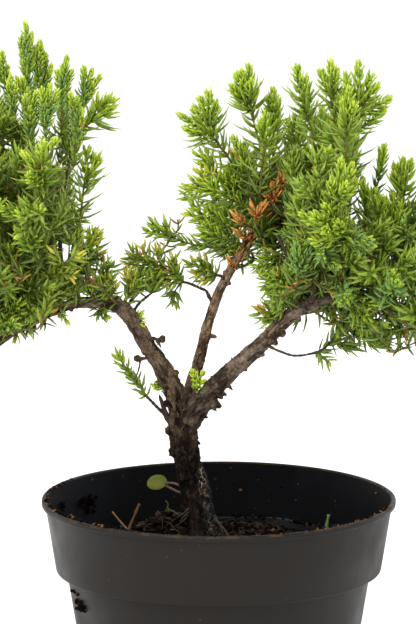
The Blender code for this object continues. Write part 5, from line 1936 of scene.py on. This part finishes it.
def grow_crown(settings):
    """Grow every shoot and the twigs that carry them."""
    garden = Garden(settings.seed)
    rng = garden.rng
    surfaces = mass_surfaces()
    limbs = set_limbs(garden)
    for name in surfaces:
        low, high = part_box(name)
        middle = (np.array(low) + np.array(high)) / 2
        garden.grow_twig(middle, unit(middle - heart_of(name) + UP * 0.01), load=0)
    dress_middle_bough(garden)
    taken = clear_leaders(garden, limbs)
    for name, tip, way in outer_tips(settings, surfaces, rng, taken):
        length = settings.shoot_length * rng.uniform(0.8, 1.15) * (1.0 if way[2] > -0.25 else 0.7)
        garden.auto_leader(side_of(name), tip - way * 0.0015, way, kind_for(name, tip / MM, rng), length)
    for name, tip, way, depth in inner_tips(settings, surfaces, rng):
        kind = "shaded" if depth > SHADED_DEPTH else "spiky"
        garden.auto_leader(side_of(name), tip, way, kind, settings.filler_length * rng.uniform(0.8, 1.2))
    return garden


def twig_tubes(garden):
    """Round twigs along the network, thicker the more shoots they carry, with a few old needles."""
    for numbers in garden.lines:
        loads = np.array([max(1, garden.loads[number]) for number in numbers], float)
        loads[0] = loads[1]
        radii = np.minimum(0.30 * loads ** 0.40, 1.1) * MM
        line = garden.places[numbers]
        garden.twigs.add(*tube_arrays(line, radii, 5), int(loads[-1] <= 3))
        if loads[1] <= 3:
            garden.dress("left" if line[-1][0] < -0.030 else "right", line, DRESSES["old"],
                         ("dark", "dark", "green", "brown"), part=(0.2, 1.0))


def placed_needles(rows, points):
    """Points of many copies of the template, each on its own foot, turned, sized and bent."""
    foot, way, face = rows[:, None, 0:3], rows[:, None, 3:6], rows[:, None, 6:9]
    length, width, bend = (rows[:, column, None, None] for column in range(9, 12))
    across = np.cross(way, face)
    x, y, z = points[None, :, 0:1], points[None, :, 1:2], points[None, :, 2:3]
    return foot + way * z * length + face * (x * width + bend * z ** 2 * length) + across * y * width


def needle_pieces(garden, settings):
    """Join the needles of each side and kind into pieces of a workable size."""
    materials = []
    for name in HUE_NAMES:
        materials += needle_materials(name, getattr(settings, name))
    templates = {"long": needle_template((0.3, 0.72), 2.2), "short": needle_template((0.4, 0.84), 4.4)}
    nodes = {side: [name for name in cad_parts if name.startswith(f"foliage_{side}")] for side in HEARTS}
    nodes["right"].append("sprig_right")
    nodes["left"].append("sprig_trunk")
    nodes["middle"].append("sprig_middle")
    for (side, kind), block in garden.needles.blocks().items():
        points, faces, tones = templates[kind]
        parts = math.ceil(len(block) / (PIECE_LIMIT // len(faces)))
        for part in range(parts):
            rows = block[part::parts]
            starts = np.arange(len(rows))[:, None, None] * len(points)
            hue = rows[:, 12, None]
            heap = Heap()
            heap.add(placed_needles(rows, points), faces[None] + starts, (hue * 3 + tones[None]).ravel())
            keep_piece(heap.make(f"needles_{side}_{kind}_{part + 1}", materials), nodes[side])


class JUNIPER_OT_build_foliage(bpy.types.Operator):
    """Grow the twigs, green stems and needles of the crown"""

    bl_idname = "juniper.build_foliage"
    bl_label = "Build Foliage"

    def execute(self, context):
        settings = context.scene.juniper_foliage
        garden = grow_crown(settings)
        twig_tubes(garden)
        needle_pieces(garden, settings)
        wood = context.scene.juniper_wood
        twig_materials = [new_material("twig_bark", toned(wood.middle, 0.6), 0.85, 0.2)[0],
                          new_material("young_twig", (0.13, 0.098, 0.030), 0.7, 0.3)[0],
                          mottled_material("bare_twig", (0.018, 0.012, 0.008), (0.115, 0.078, 0.054), 1300.0)]
        twigs = garden.twigs.make("brown_twigs", twig_materials)
        keep_piece(twigs, ["twig_right", "twig_trunk"])
        stem_materials = [new_material("green_stem", (0.16, 0.20, 0.035), 0.6, 0.3)[0],
                          new_material("ruddy_stem", (0.18, 0.150, 0.035), 0.6, 0.3)[0],
                          new_material("dead_stem", (0.22, 0.11, 0.05), 0.8, 0.3)[0]]
        keep_piece(garden.stems.make("green_stems", stem_materials))
        return {"FINISHED"}


# ---------------- camera, light and floor

# The camera: place in metres, dip in degrees and lens in millimetres
CAMERA_PLACE = (-0.003867, -1.172007, 0.367682)
CAMERA_DIP = 9.1468
CAMERA_LENS = 187.67
SENSOR_WIDTH = 36.0
FAR_END = 200.0
SKY_STRENGTH = 1.12
# The floor lies just under the pot, and the lights look at the middle of the plant
FLOOR_REACH = 30.0
FLOOR_HEIGHT = -0.0001
PLANT_MIDDLE = (0.0, 0.0, 0.16)


def add_area_light(name, place, aim, size, power, colour):
    """A square area light that looks at a point."""
    light = bpy.data.lights.new(name, "AREA")
    light.size = size
    light.energy = power
    light.color = colour
    obj = bpy.data.objects.new(name, light)
    obj.location = place
    obj.rotation_euler = (Vector(aim) - Vector(place)).to_track_quat("-Z", "Y").to_euler()
    bpy.context.collection.objects.link(obj)


class JUNIPER_OT_build_stage(bpy.types.Operator):
    """Set the pale floor, the soft light and the camera"""

    bl_idname = "juniper.build_stage"
    bl_label = "Build Stage"

    def execute(self, context):
        scene = context.scene
        bm = bmesh.new()
        bmesh.ops.create_grid(bm, x_segments=1, y_segments=1, size=FLOOR_REACH)
        floor = object_from_bmesh("floor", bm, [new_material("floor", (0.95, 0.95, 0.95), 0.9, 0.1)[0]])
        floor.location.z = FLOOR_HEIGHT
        world = bpy.data.worlds.new("studio")
        world.use_nodes = True
        sky = world.node_tree.nodes["Background"]
        sky.inputs["Color"].default_value = (1.0, 1.0, 1.0, 1.0)
        sky.inputs["Strength"].default_value = SKY_STRENGTH
        scene.world = world
        add_area_light("key", (-0.75, -1.0, 1.25), PLANT_MIDDLE, 0.9, 16.0, (1.0, 0.99, 0.96))
        add_area_light("rim", (0.7, 0.9, 1.0), PLANT_MIDDLE, 0.8, 6.0, (0.97, 0.99, 1.0))
        camera = bpy.data.cameras.new("camera")
        camera.lens = CAMERA_LENS
        camera.sensor_width = SENSOR_WIDTH
        camera.clip_end = FAR_END
        obj = bpy.data.objects.new("camera", camera)
        obj.location = CAMERA_PLACE
        obj.rotation_euler = (math.radians(90 - CAMERA_DIP), 0, 0)
        bpy.context.collection.objects.link(obj)
        scene.camera = obj
        scene.view_settings.view_transform = "Standard"
        return {"FINISHED"}


# ---------------- panel and running

class JUNIPER_PT_panel(bpy.types.Panel):
    """Every step of the build, in order"""

    bl_label = "Potted Juniper"
    bl_space_type = "VIEW_3D"
    bl_region_type = "UI"
    bl_category = "Juniper"

    def draw(self, context):
        for name in SETTINGS:
            group = getattr(context.scene, name)
            box = self.layout.box()
            box.label(text=name.replace("_", " ").capitalize())
            for key in group.__annotations__:
                box.prop(group, key)
        for operator in OPERATORS:
            self.layout.operator(operator.bl_idname)


SETTINGS = {
    "juniper_pot": JuniperPotSettings,
    "juniper_soil": JuniperSoilSettings,
    "juniper_wood": JuniperWoodSettings,
    "juniper_foliage": JuniperFoliageSettings,
}
OPERATORS = (JUNIPER_OT_build_pot, JUNIPER_OT_build_soil, JUNIPER_OT_build_litter, JUNIPER_OT_build_wood,
             JUNIPER_OT_build_foliage, JUNIPER_OT_build_stage)


def register():
    """Make the settings, operators and panel known to Blender."""
    for name, group in SETTINGS.items():
        bpy.utils.register_class(group)
        setattr(bpy.types.Scene, name, bpy.props.PointerProperty(type=group))
    for cls in (*OPERATORS, JUNIPER_PT_panel):
        bpy.utils.register_class(cls)


def unregister():
    """Take them away again."""
    for cls in (JUNIPER_PT_panel, *reversed(OPERATORS)):
        bpy.utils.unregister_class(cls)
    for name, group in SETTINGS.items():
        delattr(bpy.types.Scene, name)
        bpy.utils.unregister_class(group)


def main():
    """Build the whole plant."""
    register()
    bpy.ops.juniper.build_pot()
    bpy.ops.juniper.build_soil()
    bpy.ops.juniper.build_litter()
    bpy.ops.juniper.build_wood()
    bpy.ops.juniper.build_foliage()
    bpy.ops.juniper.build_stage()


if __name__ == "__main__":
    main()
